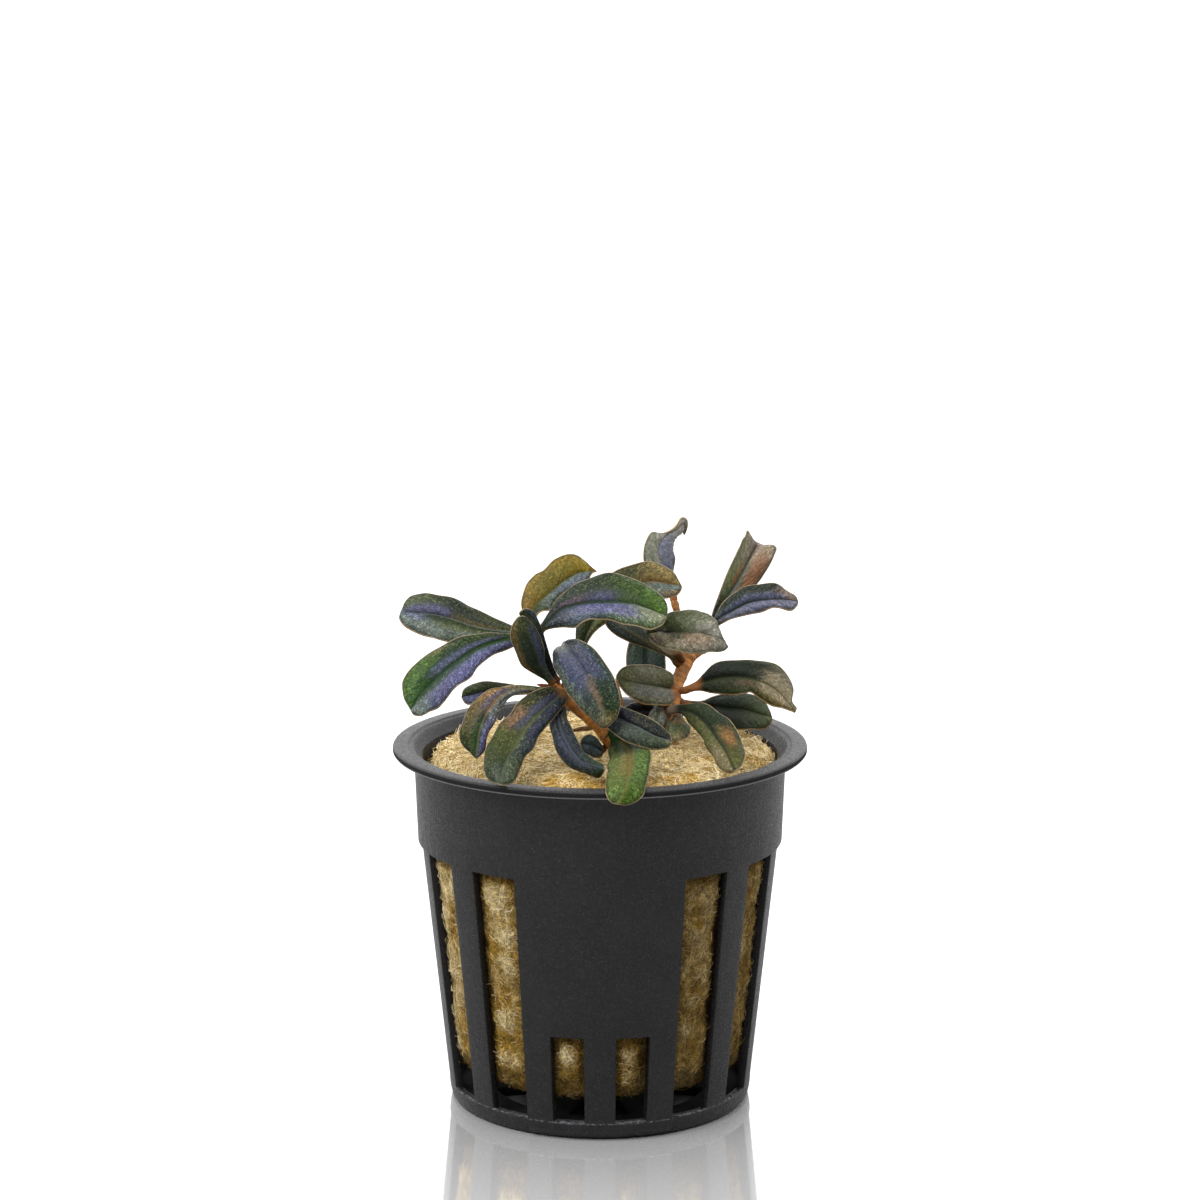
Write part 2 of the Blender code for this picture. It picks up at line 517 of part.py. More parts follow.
def add_right_plant():
    """The right rosette: its stem, forks and leaves."""
    stem("right_stem",
         [(668, 749.5, -5, 0.85), (669, 735, -3.8, 0.8), (671, 716, -2, 0.8), (673, 700, -0.2, 0.85),
          (677, 685, 1.2, 0.8), (682.5, 670, 2.6, 0.85), (688, 656, 3.6, 0.95)],
         RHIZOME_ORANGE)
    stem("right_side_stem",
         [(699, 652.5, 4.2, 0.45), (706, 647, 4.8, 0.5), (712, 640, 5.4, 0.5), (714, 633.5, 5.8, 0.45)],
         RHIZOME_ORANGE)
    stem("right_top_stalk",
         [(687, 650, 4.1, 0.6), (683, 632, 4.8, 0.5), (678, 616, 5.5, 0.45), (674.5, 603, 6.1, 0.42)],
         RHIZOME_ORANGE)
    leaf("curled_top_leaf", LEAF_GREY,
         rib=[(673.5, 598, 6.4), (669, 580, 7.2), (660, 560, 8), (659, 546, 8.8), (666, 535, 10),
              (676, 529.5, 11.4), (683.5, 523, 12.4), (684, 535.5, 13.4)],
         left=[(666, 588), (652, 577), (644.5, 563), (643.5, 550), (646, 540), (652, 531.5),
               (663, 532.5), (673, 527.5), (680.5, 517.5), (687, 519), (687.5, 527)],
         right=[(675, 586), (675, 573), (673.5, 558), (673, 548), (675, 540), (679.5, 533.5),
                (681.5, 531)],
         lean=(0.3, 0.3))
    leaf("tall_right_leaf", LEAF_OLIVE,
         rib=[(713.5, 626.5, 6.6), (717.5, 611, 7.2), (728, 598, 7.8), (737.5, 586, 8.4),
              (746, 569.5, 9.2), (752.5, 554.5, 10.2), (759, 542, 12), (760, 548, 14), (758, 562, 15)],
         left=[(712, 613), (719, 593), (727.5, 571.5), (736, 553), (741, 542), (747.5, 531), (750, 538),
               (751, 550)],
         right=[(718, 616), (727, 608), (742, 597), (756, 585), (767, 570), (774.5, 557.5),
                (776, 548.5), (770, 557)],
         lean=(0.2, 0.3))
    leaf("upper_right_leaf", LEAF_GREEN,
         rib=[(715.5, 628.5, 5.2), (719, 619, 4.6), (732.5, 611, 4), (747.5, 603.5, 3.4),
              (762, 600.5, 3), (780.5, 599.5, 2.8), (798.5, 602, 2.8)],
         left=[(716, 614.5), (724, 603), (734, 593), (745.5, 586), (757.5, 584), (775.5, 583.5),
               (787, 589.5), (795.5, 595.5)],
         right=[(717.5, 627), (726, 622), (739, 617.5), (759, 612.5), (774, 608.5), (790.5, 610.5),
                (797, 606.5)],
         lean=(0.7, -0.6))
    leaf("wrinkled_leaf", LEAF_GREY,
         rib=[(678.5, 654, 1.2), (664, 646, -2), (653, 639, -4.8), (654, 633, -6.4), (666, 632, -7.6),
              (679.5, 632.3, -8.6), (693, 632.7, -9.2), (706, 634.3, -9.4), (720, 638.5, -9.2),
              (728, 647, -8.8)],
         left=[(672, 648), (662, 641), (651, 634), (648.5, 629.5), (655, 621), (666, 614.5),
               (682.5, 610), (693, 608.5), (701, 610.5), (709.5, 614.5), (716, 621), (719.5, 629.5),
               (722, 639)],
         right=[(672, 656), (662, 650), (651, 642), (649, 638.5), (655, 644.5), (666, 649.5),
                (679.5, 652), (697.5, 653), (714, 652.5), (724, 651)],
         lean=(0.6, -0.6))
    leaf("grey_underside_leaf", LEAF_GREY,
         rib=[(676, 662, 2.2), (666, 654.5, 1.3), (648, 643, -1.2), (628, 631, -4), (606, 617, -6.4)],
         left=[(670, 659), (658, 652.5), (642, 646.5), (626, 641), (611, 632), (605, 623)],
         right=[(677, 654), (666, 645), (650, 631), (635, 620), (618, 613)],
         lean=(-0.5, 0.5))
    leaf("upright_back_leaf", LEAF_GREEN,
         rib=[(668, 722, -0.9), (662, 714, 1.2), (652, 700, 4), (646, 678, 6.4), (645, 655, 8.4),
              (647, 629, 10)],
         left=[(650, 706), (634, 690), (627, 672), (626, 655), (630, 639), (638, 630)],
         right=[(661, 704), (664, 688), (665.5, 670), (665.5, 652), (662, 638), (655, 630)],
         lean=(0.1, 0.1))
    leaf("oval_leaf", LEAF_GREY,
         rib=[(676, 690.5, -1.4), (663, 687.4, -3), (649.5, 685, -4.4), (634.5, 682.5, -5.4),
              (615.5, 679.5, -6)],
         left=[(675, 698), (672, 704), (666, 706), (653, 705), (639.5, 702.5), (626.5, 696),
               (619.5, 687)],
         right=[(674, 684), (673, 675), (667.5, 670.5), (658, 666.5), (644.5, 664), (631, 665),
                (621.5, 669), (616.5, 674.5)],
         lean=(-0.6, 0.6))
    leaf("large_right_leaf", LEAF_GREEN,
         rib=[(685, 690.5, 0), (692, 688, -0.4), (700, 684.5, -0.8), (717.5, 679, -1.6),
              (739, 677.5, -2.4), (759, 681, -3), (775, 689, -3.6), (787, 701, -4.2), (795, 713, -4.6)],
         left=[(692, 684), (699, 679.5), (704, 672.5), (712.5, 666), (726, 661), (742.5, 659.5),
               (757, 660), (769, 662), (781, 667.5), (790.5, 677.5), (793.5, 689), (792, 701),
               (796.5, 708)],
         right=[(693, 691.5), (701, 691), (712, 693.5), (728, 695), (745, 694.5), (751, 693),
                (761, 699.5), (771, 705.5), (781, 708.5), (789.5, 711)],
         lean=(0.7, -0.4))
    leaf("low_right_leaf", LEAF_GREEN,
         rib=[(682.5, 703, 0.8), (692, 704, 1.8), (708, 706, 3.2), (727, 708.5, 4.4), (746, 710, 5.4),
              (772, 718, 6.4)],
         left=[(691, 700.5), (702, 700.5), (712, 696.5), (727, 693.5), (746, 692.5), (757, 696.5),
               (766, 702.5), (770, 710)],
         right=[(691, 708), (705, 716), (720, 724.5), (738, 730), (756, 730), (767, 728), (771.5, 723)],
         lean=(0.7, -0.6))
    leaf("drooping_right_leaf", LEAF_OLIVE,
         rib=[(669, 711, -3.6), (675, 709, -4.7), (683, 709, -5.8), (694.5, 713, -7.4),
              (705, 722, -9.4), (715, 735.5, -11.8), (724, 748.5, -14.4), (731, 762, -16.8),
              (735.5, 771.5, -18.4)],
         left=[(675, 704.5), (685, 704.5), (695, 703.5), (705, 704), (715, 708.5), (727, 717.5),
               (735.5, 728), (741.5, 740), (745.3, 751.5), (744, 761), (740, 768)],
         right=[(674.5, 714), (681, 713.5), (686.5, 718), (693, 727), (701.5, 737.5), (707.5, 749),
                (715, 762), (722, 770.5), (730, 773.5)],
         lean=(0.5, 0.1))
    leaf("dark_shaded_leaf", LEAF_DARK,
         rib=[(661.5, 712, -0.6), (655, 711, -1.2), (640, 711, -2.6), (623, 713, -4)],
         left=[(656, 715), (645, 719), (633, 719.5), (625, 717)],
         right=[(656, 706), (645, 702), (634, 702.5), (625, 707)],
         lean=(-0.4, 0.5))
    leaf("small_grey_leaf", LEAF_GREY,
         rib=[(660, 704, -2.2), (659, 711, -4), (656, 719, -5.2), (652, 728, -6)],
         left=[(663.5, 711), (667, 719), (666, 726), (660, 731)],
         right=[(655, 706), (650.5, 712), (648.5, 720)],
         lean=(0.2, 0.6))
    leaf("small_pale_leaf", LEAF_GREY,
         rib=[(679, 717, -3.2), (676, 722, -5), (675, 730, -7), (678, 741, -8.6)],
         left=[(683, 719), (688, 723), (690.5, 730), (687, 738)],
         right=[(672, 719), (667, 725), (667, 734), (671, 741)],
         lean=(0.3, 0.3))


def main():
    clear_scene()
    add_net_pot()
    add_wool_plug()
    add_left_plant()
    add_right_plant()


main()
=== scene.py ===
"""A bucephalandra in a small net pot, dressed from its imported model.

Two rhizomes with long, satin, wavy-edged leaves grow from the slit of a stone wool plug in a tapered
black pot with slotted sides. Lengths are in millimetres up to the last step, where a mesh is made in
metres. The photographed side looks along -Y and +Z is up.
"""

from math import cos, pi, radians, sin

import bmesh
import bpy
import numpy as np
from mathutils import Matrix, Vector, noise


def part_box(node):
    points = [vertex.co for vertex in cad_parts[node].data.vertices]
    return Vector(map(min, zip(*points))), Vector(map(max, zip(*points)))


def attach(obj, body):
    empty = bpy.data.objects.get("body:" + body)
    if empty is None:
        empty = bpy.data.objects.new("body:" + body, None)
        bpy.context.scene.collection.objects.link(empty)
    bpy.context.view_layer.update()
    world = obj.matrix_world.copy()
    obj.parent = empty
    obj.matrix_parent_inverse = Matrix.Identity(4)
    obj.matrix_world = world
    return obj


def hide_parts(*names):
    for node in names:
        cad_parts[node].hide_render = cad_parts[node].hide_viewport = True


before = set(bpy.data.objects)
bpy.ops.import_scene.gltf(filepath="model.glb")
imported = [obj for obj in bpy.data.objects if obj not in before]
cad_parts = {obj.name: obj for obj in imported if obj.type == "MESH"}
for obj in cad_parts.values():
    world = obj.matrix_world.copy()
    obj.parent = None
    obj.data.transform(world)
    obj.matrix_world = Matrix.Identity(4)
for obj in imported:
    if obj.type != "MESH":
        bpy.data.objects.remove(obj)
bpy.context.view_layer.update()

bl_info = {
    "name": "Net pot plant",
    "version": (1, 0, 0),
    "blender": (4, 5, 0),
    "location": "3D View > Sidebar > Net pot plant",
    "description": "Builds a bucephalandra in a net pot: pot, stone wool, stems, leaves and a plain stage",
    "category": "Add Mesh",
}

MM = 0.001
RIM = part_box("net_pot")[1]

# The pot's form, in millimetres and degrees from the front panel's middle

FLOOR = 1.2
WALL = 1.0
FOOT_RADIUS = 17.6
FOOT_BEVEL = 0.35
STRUT_RADIUS_LOW = 18.25
STRUT_RADIUS_HIGH = 21.65
COLLAR_EDGE = 32.2
COLLAR_RADIUS_LOW = 22.05
COLLAR_RADIUS_HIGH = 22.45
COLLAR_PROUD = COLLAR_RADIUS_LOW - STRUT_RADIUS_HIGH
WALL_TOP = 42.65
SLOT_LOW = 2.2
LONG_SLOT_ANGLE = 16.5
LONG_SLOT_PITCH = 27.4
LONG_SLOTS_PER_SIDE = 5
SHORT_SLOT_TOP = 13.0
SHORT_SLOT_ANGLE = 11.5
SHORT_SLOT_PLACE = 11.25
PANEL_HALF_ANGLE = 26.95
PANELS = (0, 180)
WALL_LEVELS = (FLOOR, SLOT_LOW, 6.0, SHORT_SLOT_TOP, 19.0, 26.0, COLLAR_EDGE)
COLLAR_LEVELS = (COLLAR_EDGE, 36.0, WALL_TOP)
DRAIN_COUNT = 6
DRAIN_ANGLE = 32.0
DRAIN_INNER_RADIUS = 8.0
DRAIN_OUTER_RADIUS = 13.0
DRAIN_SNAP = 1.2

# The rim's section from the collar over the flange to the inside, as (radius, height)

RIM_SECTION = [
    (22.52, 42.86), (22.75, 43.0), (24.5, 43.0), (24.83, 43.07), (24.98, 43.25), (25.0, 43.62),
    (24.93, 43.86), (24.72, 43.98), (23.3, 44.0), (23.14, 43.97), (23.05, 43.84), (22.75, 43.82),
    (22.52, 43.76), (22.28, 43.5), (21.95, 43.05),
]

# The plug's form: how far it stands in from the wall's outside, and each lump's (height, scale, seed)

WOOL_TOP = 43.4
WOOL_LOW = 5.0
WOOL_INSET = WALL + 0.35
WOOL_SEGMENTS = 300
WOOL_RING_SPACING = 0.55
LUMPS = ((1.1, 0.3, 1), (0.8, 0.9, 2), (0.45, 2.2, 3))
RIGHT_SWELL = 0.8
WOOL_SHOULDER_RADIUS = 20.0
WOOL_SHOULDER_RISE = 7.5
SLIT_START = 0.5
SLIT_Y = -5.5
SLIT_DEPTH = 1.4
MOUND_PLACE = (8.2, -7.4)
MOUND_REACH = (5.0, 2.6)
MOUND_HEIGHT = 2.0

# A strand's look: its share of the thickness, its points, its bend, the bend's scale, and the radii at
# the pot's foot and rim that it stays within

TOP_LOOK = (1.0, 6, 1.5, 560.0, 17.15, 21.3)
SLOT_LOOK = (0.66, 8, 1.3, 900.0, 17.95, 22.2)
LOOSE_STRANDS = 700

# Leaves and stems. Ruffles and wrinkles are (length, height)

TIP_CROWDING = 1.35
STALK_THICKNESS = 0.8
STALK_HALF_WIDTH = 0.45
STALK_SHARE = 0.18
HALF_BLADE_SWELL = 0.12
CURVE_STEPS = 16
RUFFLES = ((9.0, 0.55), (5.3, 0.9), (3.1, 0.5))
WRINKLES = ((2.6, 1.0), (1.7, 0.7))
RIDGE_HEIGHT = 0.1
GROOVE_DEPTH = 0.13
STEM_SPACING = 0.14
BLUNT_END = (0.98, 0.92, 0.82, 0.66)

# The eye that the outlines were measured from. A point's across and down are its place in a picture of
# the plant, 1200 by 1200, and y is how deep it lies.

EYE_BACK = 392.3
EYE_HEIGHT = 137.2
EYE_DIP = radians(10.94)
SIGHT_SCALE = 3335.0
PICTURE_WIDTH = 1200
PICTURE_MIDDLE = 600.0
PIXELS_PER_MM = 8.3
SENSOR_WIDTH = 36.0

# The stage: half the floor's side, and each lamp's name, place, size in metres and share of the power

FLOOR_REACH = 15000
LAMPS = (("key light", (-260, -230, 420), 0.45, 1.1), ("fill light", (300, -160, 380), 0.35, 0.35))

# Colours of the pot and the wool, as light

# The flange's scuffs, with a painted sheen.
SCUFF_AND_SHEEN = (0.16, 0.155, 0.165, 1.0)
# A sill flash, with a painted highlight.
FLASH_AND_HIGHLIGHT = (0.22, 0.22, 0.24, 1.0)
PLASTIC_SPECK = (0.02, 0.019, 0.021, 1.0)
# A painted highlight on the flange's lower lip.
LIP_HIGHLIGHT = (0.2, 0.195, 0.21, 1.0)
# Painted shade where the wool lies back behind the struts.
WOOL_RECESS_SHADE = (0.12, 0.07, 0.008, 1.0)
WHITE_STRAND = (0.94, 0.87, 0.68, 1.0)
WHITE = (1.0, 1.0, 1.0, 1.0)

# The plant's colours, as red, green and blue of a screen from 0 to 255. Mist also serves for painted
# highlights on some leaves, and violet is partly the leaves' own colour and partly a painted satin sheen.

TONES = {
    "shade": (26, 30, 28), "deep": (36, 50, 28), "forest": (40, 68, 36), "leaf": (50, 88, 34),
    "fresh": (96, 124, 46), "moss": (76, 82, 36), "olive": (112, 108, 46), "sage": (104, 114, 82),
    "bronze": (128, 86, 46), "tan": (168, 136, 90), "gold": (172, 138, 24), "orange": (200, 106, 40),
    "rust": (150, 78, 36), "violet": (104, 100, 148), "plum": (60, 56, 88), "slate": (50, 58, 78),
    "steel": (104, 118, 134), "mist": (148, 146, 142), "pale": (205, 198, 180), "rose": (152, 112, 104),
}

# Routes of the stems, as (across, down, y, radius)

STEMS = {
    "left_rhizome": [(618, 752.5, -6.5, 0.75), (611, 743, -7.2, 0.8), (602, 731, -8, 0.72),
                    (590, 719, -8.6, 0.68), (577, 709, -8.9, 0.7), (567, 699, -8.8, 0.8),
                    (555, 689.5, -8.5, 0.7)],
    "left_stem": [(557, 685, -7, 0.5), (549, 667, -6.2, 0.5), (541, 651, -5.6, 0.5),
                 (532.5, 632.5, -4.9, 0.5)],
    "side_root": [(586, 728.5, -8.4, 0.28), (580, 729, -8.2, 0.25), (572, 731, -8, 0.18)],
    "golden_stalk": [(609.5, 730.5, -9, 0.3), (619, 717, -9.2, 0.3), (621, 704, -9, 0.3),
                    (618.5, 692, -8.6, 0.28), (616, 681, -8.2, 0.2)],
    "pink_bud": [(546, 686.5, -8.9, 0.3), (542, 685.5, -9, 0.22), (537, 684.5, -9.2, 0.06)],
    "right_stem": [(668, 749.5, -5, 0.85), (669, 735, -3.8, 0.8), (671, 716, -2, 0.8),
                  (673, 700, -0.2, 0.85), (677, 685, 1.2, 0.8), (682.5, 670, 2.6, 0.85),
                  (688, 656, 3.6, 0.95)],
    "right_side_stem": [(699, 652.5, 4.2, 0.45), (706, 647, 4.8, 0.5), (712, 640, 5.4, 0.5),
                       (714, 633.5, 5.8, 0.45)],
    "right_top_stalk": [(687, 650, 4.1, 0.6), (683, 632, 4.8, 0.5), (678, 616, 5.5, 0.45),
                       (674.5, 603, 6.1, 0.42)],
}

# How far a stem runs on past its route at its low end, into what carries it, and at its high end

STEM_REACH = {
    "left_rhizome": (3.5, 0.6), "left_stem": (1.2, 0.5), "side_root": (0.8, 0), "golden_stalk": (1.4, 0),
    "pink_bud": (1.2, 0), "right_stem": (3.5, 0.6), "right_side_stem": (1.3, 0.4),
    "right_top_stalk": (0.8, 0.8),
}

# The leaves. rib holds (across, down, y) from root to tip, and left and right hold (across, down) of the
# edges as seen along that way. lean says how far each edge goes back for each millimetre beside the rib.
# tones are root, middle and tip of the left half and then of the right. A zone is (tone, from, to, left,
# right, amount): from and to are shares of the length, and left and right shares of the half width, below
# 0 on the left. rib_look is (tone, width in millimetres, amount), flecks is how plain the pale flecks are,
# stalk is (tone, reach), wrinkle is the height of wrinkles and sheen how much the skin reflects.

LEFT_LEAVES = {}
LEFT_LEAVES["upper_left_leaf"] = dict(
    rib=(525, 633.5, -4.4, 510, 632.5, -4, 478, 627.5, -3, 456, 620.5, -2.2, 434, 615, -1.4,
        400.5, 612.5, -0.2),
    left=(511, 637, 480, 642, 446, 642, 431, 638.5, 416, 632.5, 404.5, 626, 399, 619),
    right=(510, 624.5, 484, 613, 460, 600, 438, 595.5, 424, 593, 412, 594.5, 405.5, 601.5),
    slot="leaf_purple", lean=(-0.6, 0.75), tones="deep moss+sage steel+sage deep+moss deep+shade sage+deep",
    zones=(("sage+steel", 0.35, 0.85, -1.1, -0.5, 0.7), ("violet", 0.6, 1.1, 0.04, 0.42, 0.6),
        ("violet+steel", 0.75, 1.1, -0.45, 0, 0.6), ("deep", 0.05, 0.78, -0.3, 0, 0.8),
        ("tan+sage", 0.12, 0.6, 0, 0.15, 0.7)),
    rib_look=("steel+sage", 0.2, 0.5), flecks=0.8, edge="bronze")
LEFT_LEAVES["long_left_leaf"] = dict(
    rib=(526, 638.5, -5.8, 510, 638.5, -7, 478, 648, -8.9, 449, 668, -10.8, 434, 681.5, -12,
        419.5, 696.5, -13, 411, 711, -13.6),
    left=(511, 648, 493, 655.5, 478, 667.5, 471, 677, 454.5, 689.5, 444.5, 701, 438, 708, 430, 711.5,
        422, 717, 414, 715.5),
    right=(510, 634, 491, 632, 473.5, 634.5, 454.5, 639.5, 438.5, 646.5, 419.5, 660, 405, 676, 401.5, 685,
        404, 698, 408.5, 707),
    slot="leaf_green", lean=(-0.6, 0.4), tones="steel violet+steel sage+steel deep+moss forest+deep leaf",
    zones=(("violet", 0.1, 0.82, -1.1, -0.35, 0.65), ("violet+steel", 0.04, 0.7, 0.04, 0.34, 0.75),
        ("fresh+leaf", 0.58, 0.95, 0.45, 1.1, 0.7), ("tan+sage", 0.48, 0.6, 0.75, 1.1, 0.6),
        ("deep+leaf", 0, 1, -0.28, 0, 0.8)),
    rib_look=("deep+leaf", 0.36, 0.9), flecks=0.85, edge="olive+bronze")
LEFT_LEAVES["folded_dark_leaf"] = dict(
    rib=(553, 683.5, -9.6, 547, 676, -10, 540, 664, -10.6, 534, 645, -11, 523, 615.5, -10.4),
    left=(544, 679, 531, 671.5, 520.5, 664, 514, 649.5, 510.5, 635, 512, 624.5, 517.5, 617),
    right=(550, 674, 545.5, 661.5, 542.5, 647, 538, 632, 530.5, 621),
    slot="leaf_dark", lean=(0.3, 0.9), tones="deep deep+shade deep+moss sage+deep slate+deep moss+shade",
    zones=(("bronze+moss", 0.15, 1.1, -1.1, -0.62, 0.8), ("plum+slate", 0.2, 0.85, 0.05, 0.5, 0.7),
        ("bronze+moss", 0.55, 1.1, 0.75, 1.1, 0.7)),
    rib_look=("moss+slate", 0.2, 0.4), flecks=0.3, edge="bronze+moss")
LEFT_LEAVES["dark_back_leaf"] = dict(
    rib=(558, 680, -7.8, 552, 667, -8, 545, 646, -8.2, 537, 624, -8.4, 524, 608, -9.6),
    left=(547, 672, 537, 650, 528, 630, 519, 614),
    right=(557, 676, 551, 660, 545.5, 642, 540, 625, 533, 611),
    slot="leaf_dark", lean=(0.2, 0.8), tones="shade shade+deep deep+sage shade shade deep+steel",
    rib_look=("slate", 0.3, 0.3), flecks=0.7, edge="bronze+moss")
LEFT_LEAVES["golden_leaf"] = dict(
    rib=(531, 628.5, -4.6, 533.5, 609, -3.6, 545.5, 597, -2.6, 556, 588, -1.8, 566, 580, -1, 579, 573, -0.4,
        597, 571.5, 0),
    left=(522, 608, 523.5, 594, 527, 582, 534.5, 574, 544, 569.5, 553, 560, 566, 554.5, 576.5, 554.5,
        585, 560, 591, 566.5),
    right=(538, 615, 550, 611, 555, 602, 566, 592.5, 580.5, 586.5, 588, 580.5, 592.5, 573.5),
    slot="leaf_gold", lean=(0.6, -0.6),
    tones="gold+bronze gold+olive+moss+moss olive+gold moss steel+sage steel+sage",
    zones=(("gold+bronze", 0, 0.75, -1.1, -0.72, 0.5), ("violet+steel", 0.5, 0.85, 0.3, 0.85, 0.4),
        ("moss+deep", 0.06, 0.3, 0.1, 0.95, 0.7), ("orange+rust", 0.96, 1.2, -1.1, 1.1, 0.9)),
    rib_look=("olive+moss", 0.24, 0.7), flecks=0.5, edge="gold", stalk=("gold+rust", 0.08))
LEFT_LEAVES["broad_top_leaf"] = dict(
    rib=(538, 637, -6.5, 546, 626, -7.4, 560, 610.5, -8, 577, 605, -8.6, 593, 602.8, -9.2, 610, 602.5, -9.8,
        630, 603.6, -10.4, 646, 608, -10.8, 667, 617, -11),
    left=(544, 620, 552, 606, 569, 589, 592, 576.5, 609.5, 573.5, 626.5, 575.5, 640, 580.5, 653, 588.5,
        663, 599, 667.5, 608),
    right=(545, 631, 560, 627.5, 575, 628, 582, 624.5, 593, 620, 608, 619.5, 623, 624.5, 640, 627.5,
        651.5, 629.5, 662, 626),
    slot="leaf_bright", lean=(0.75, -0.75),
    tones="deep+slate deep leaf+fresh slate+deep steel+slate sage+fresh+pale",
    zones=(("rose+violet", 0.1, 0.42, -0.28, -0.03, 0.6), ("violet+slate", 0.44, 0.62, -0.3, -0.03, 0.8),
        ("violet", 0.36, 0.76, 0.12, 0.66, 0.65), ("sage+leaf", 0.5, 0.95, 0.72, 1.1, 0.8),
        ("mist+violet", 0.12, 0.4, 0.3, 0.6, 0.35)),
    rib_look=("deep+forest", 0.34, 0.8), flecks=0.9, edge="tan+olive")
LEFT_LEAVES["arched_centre_leaf"] = dict(
    rib=(566, 685, -8.1, 563.5, 668, -7.4, 560, 653, -8.2, 563, 645.5, -10.4, 576, 659, -12.4,
        588, 678, -13.8, 596, 694, -14.8, 603, 708, -15.4, 610.5, 725, -15.8),
    left=(567.5, 668, 567, 648, 575, 639, 590, 645.5, 600, 655.5, 609, 668, 616, 683, 620.5, 697, 620.5, 708,
        617, 718),
    right=(559.5, 670, 555.5, 657, 552.5, 653.5, 553, 663, 558, 675, 563, 685.5, 572, 697.5, 582, 710.5,
        594, 723.5, 604, 728.5),
    slot="leaf_purple", lean=(0.3, 0.3),
    tones="deep+mist slate+forest deep+forest sage+mist slate+steel sage+forest+mist",
    zones=(("violet+slate", 0.34, 0.66, -0.7, 0.5, 0.55), ("sage", 0.38, 0.85, 0.62, 1.1, 0.5),
        ("shade", 0.22, 0.36, -0.7, -0.25, 0.9), ("shade", 0.24, 0.38, 0.42, 0.85, 0.8),
        # The mist zone at the bend is a painted glint.
        ("mist", 0.18, 0.34, -0.15, 0.4, 0.95), ("deep", 0.68, 0.92, -0.6, 0.6, 0.6),
        ("tan+rose", 0.62, 0.86, -0.05, 0.06, 0.9), ("olive+tan", 0.92, 1.2, -1.1, 1.1, 0.6)),
    rib_look=("slate+sage", 0.16, 0.4), flecks=1, edge="tan")
LEFT_LEAVES["olive_back_leaf"] = dict(
    rib=(563, 690, -6.8, 573, 668, -5.2, 583, 646, -4.2, 591, 627, -3.4, 606, 604, -2.4, 627, 590, -0.8,
        649.5, 581.5, 0.6, 682, 587, 1.6),
    left=(568, 668, 576, 650, 577, 640, 576, 625, 583, 600, 596, 582, 611.5, 572.5, 627, 566.5, 645, 561,
        658, 562, 668, 568, 675, 574.5, 679, 581),
    right=(583, 656, 588, 642, 596, 631.5, 607, 622, 622, 612, 640, 605, 655, 601, 667.5, 598.5, 676, 596.5,
        681, 591),
    slot="leaf_olive", lean=(0.6, -0.5),
    tones="deep+forest moss+shade olive+tan steel+sage sage+olive steel+sage",
    zones=(("shade+moss", 0.55, 0.76, -1.1, -0.4, 0.8), ("tan+orange", 0.8, 0.94, -0.05, 0.07, 0.9),
        ("bronze+tan", 0.88, 1.2, 0.6, 1.1, 0.7)),
    rib_look=("sage+moss", 0.22, 0.6), flecks=0.8, edge="tan+gold")
LEFT_LEAVES["small_back_leaf"] = dict(
    rib=(546, 691, -7.8, 515, 690.5, -6.2, 487, 691.5, -4.6, 461.5, 698, -3.4),
    left=(530, 694, 505, 697, 485, 702, 471, 705.5, 465, 703.5),
    right=(537, 687.5, 515, 684.5, 501.5, 682.5, 485, 681.5, 472, 683.3, 463.5, 689),
    slot="leaf_olive", lean=(-0.6, 0.6),
    tones="slate slate+steel steel+violet moss+deep deep+moss forest+moss",
    zones=(("violet+slate", 0.5, 1.1, -0.7, 0.05, 0.5),),
    rib_look=("slate", 0.24, 0.6), flecks=0.4, edge="bronze+moss")
LEFT_LEAVES["arching_left_leaf"] = dict(
    rib=(547, 693.5, -9.5, 538, 690.5, -10.3, 519, 689.5, -11.6, 501.5, 696, -13.4, 491, 707.5, -14.6,
        484, 719, -15.4, 479, 734, -16.2, 476.5, 759, -16.8),
    left=(538, 693, 522, 693, 511, 697.5, 504, 706, 497, 716.5, 491, 728.5, 487, 740, 484, 751.5),
    right=(538, 687, 522, 686, 507, 685.5, 492.5, 689, 478, 697, 467.5, 709, 462.5, 722, 460.5, 734,
        463.5, 746, 470.5, 753.5),
    slot="leaf_olive", lean=(0.4, 0.6),
    tones="steel+mist sage+steel+mist steel+violet sage bronze+moss deep+forest",
    zones=(("shade+deep", 0.08, 0.5, -0.45, -0.22, 0.8), ("bronze+tan", 0.22, 0.52, 0.4, 1.1, 0.7),
        # The mist and steel zone near the root is a painted sheen of glossy streaks.
        ("slate+violet", 0.3, 0.6, 0.06, 0.4, 0.6), ("mist+steel", 0.15, 0.5, -0.95, -0.5, 0.6),
        ("tan+bronze", 0.4, 0.62, -0.05, 0.07, 0.9), ("deep+leaf", 0.62, 0.95, -0.2, 0.3, 0.8),
        ("violet", 0.64, 0.95, -0.9, -0.2, 0.7), ("shade", 0.6, 0.68, -0.2, 0.22, 0.9)),
    rib_look=("sage+tan", 0.16, 0.4), flecks=0.9, edge="tan+bronze")
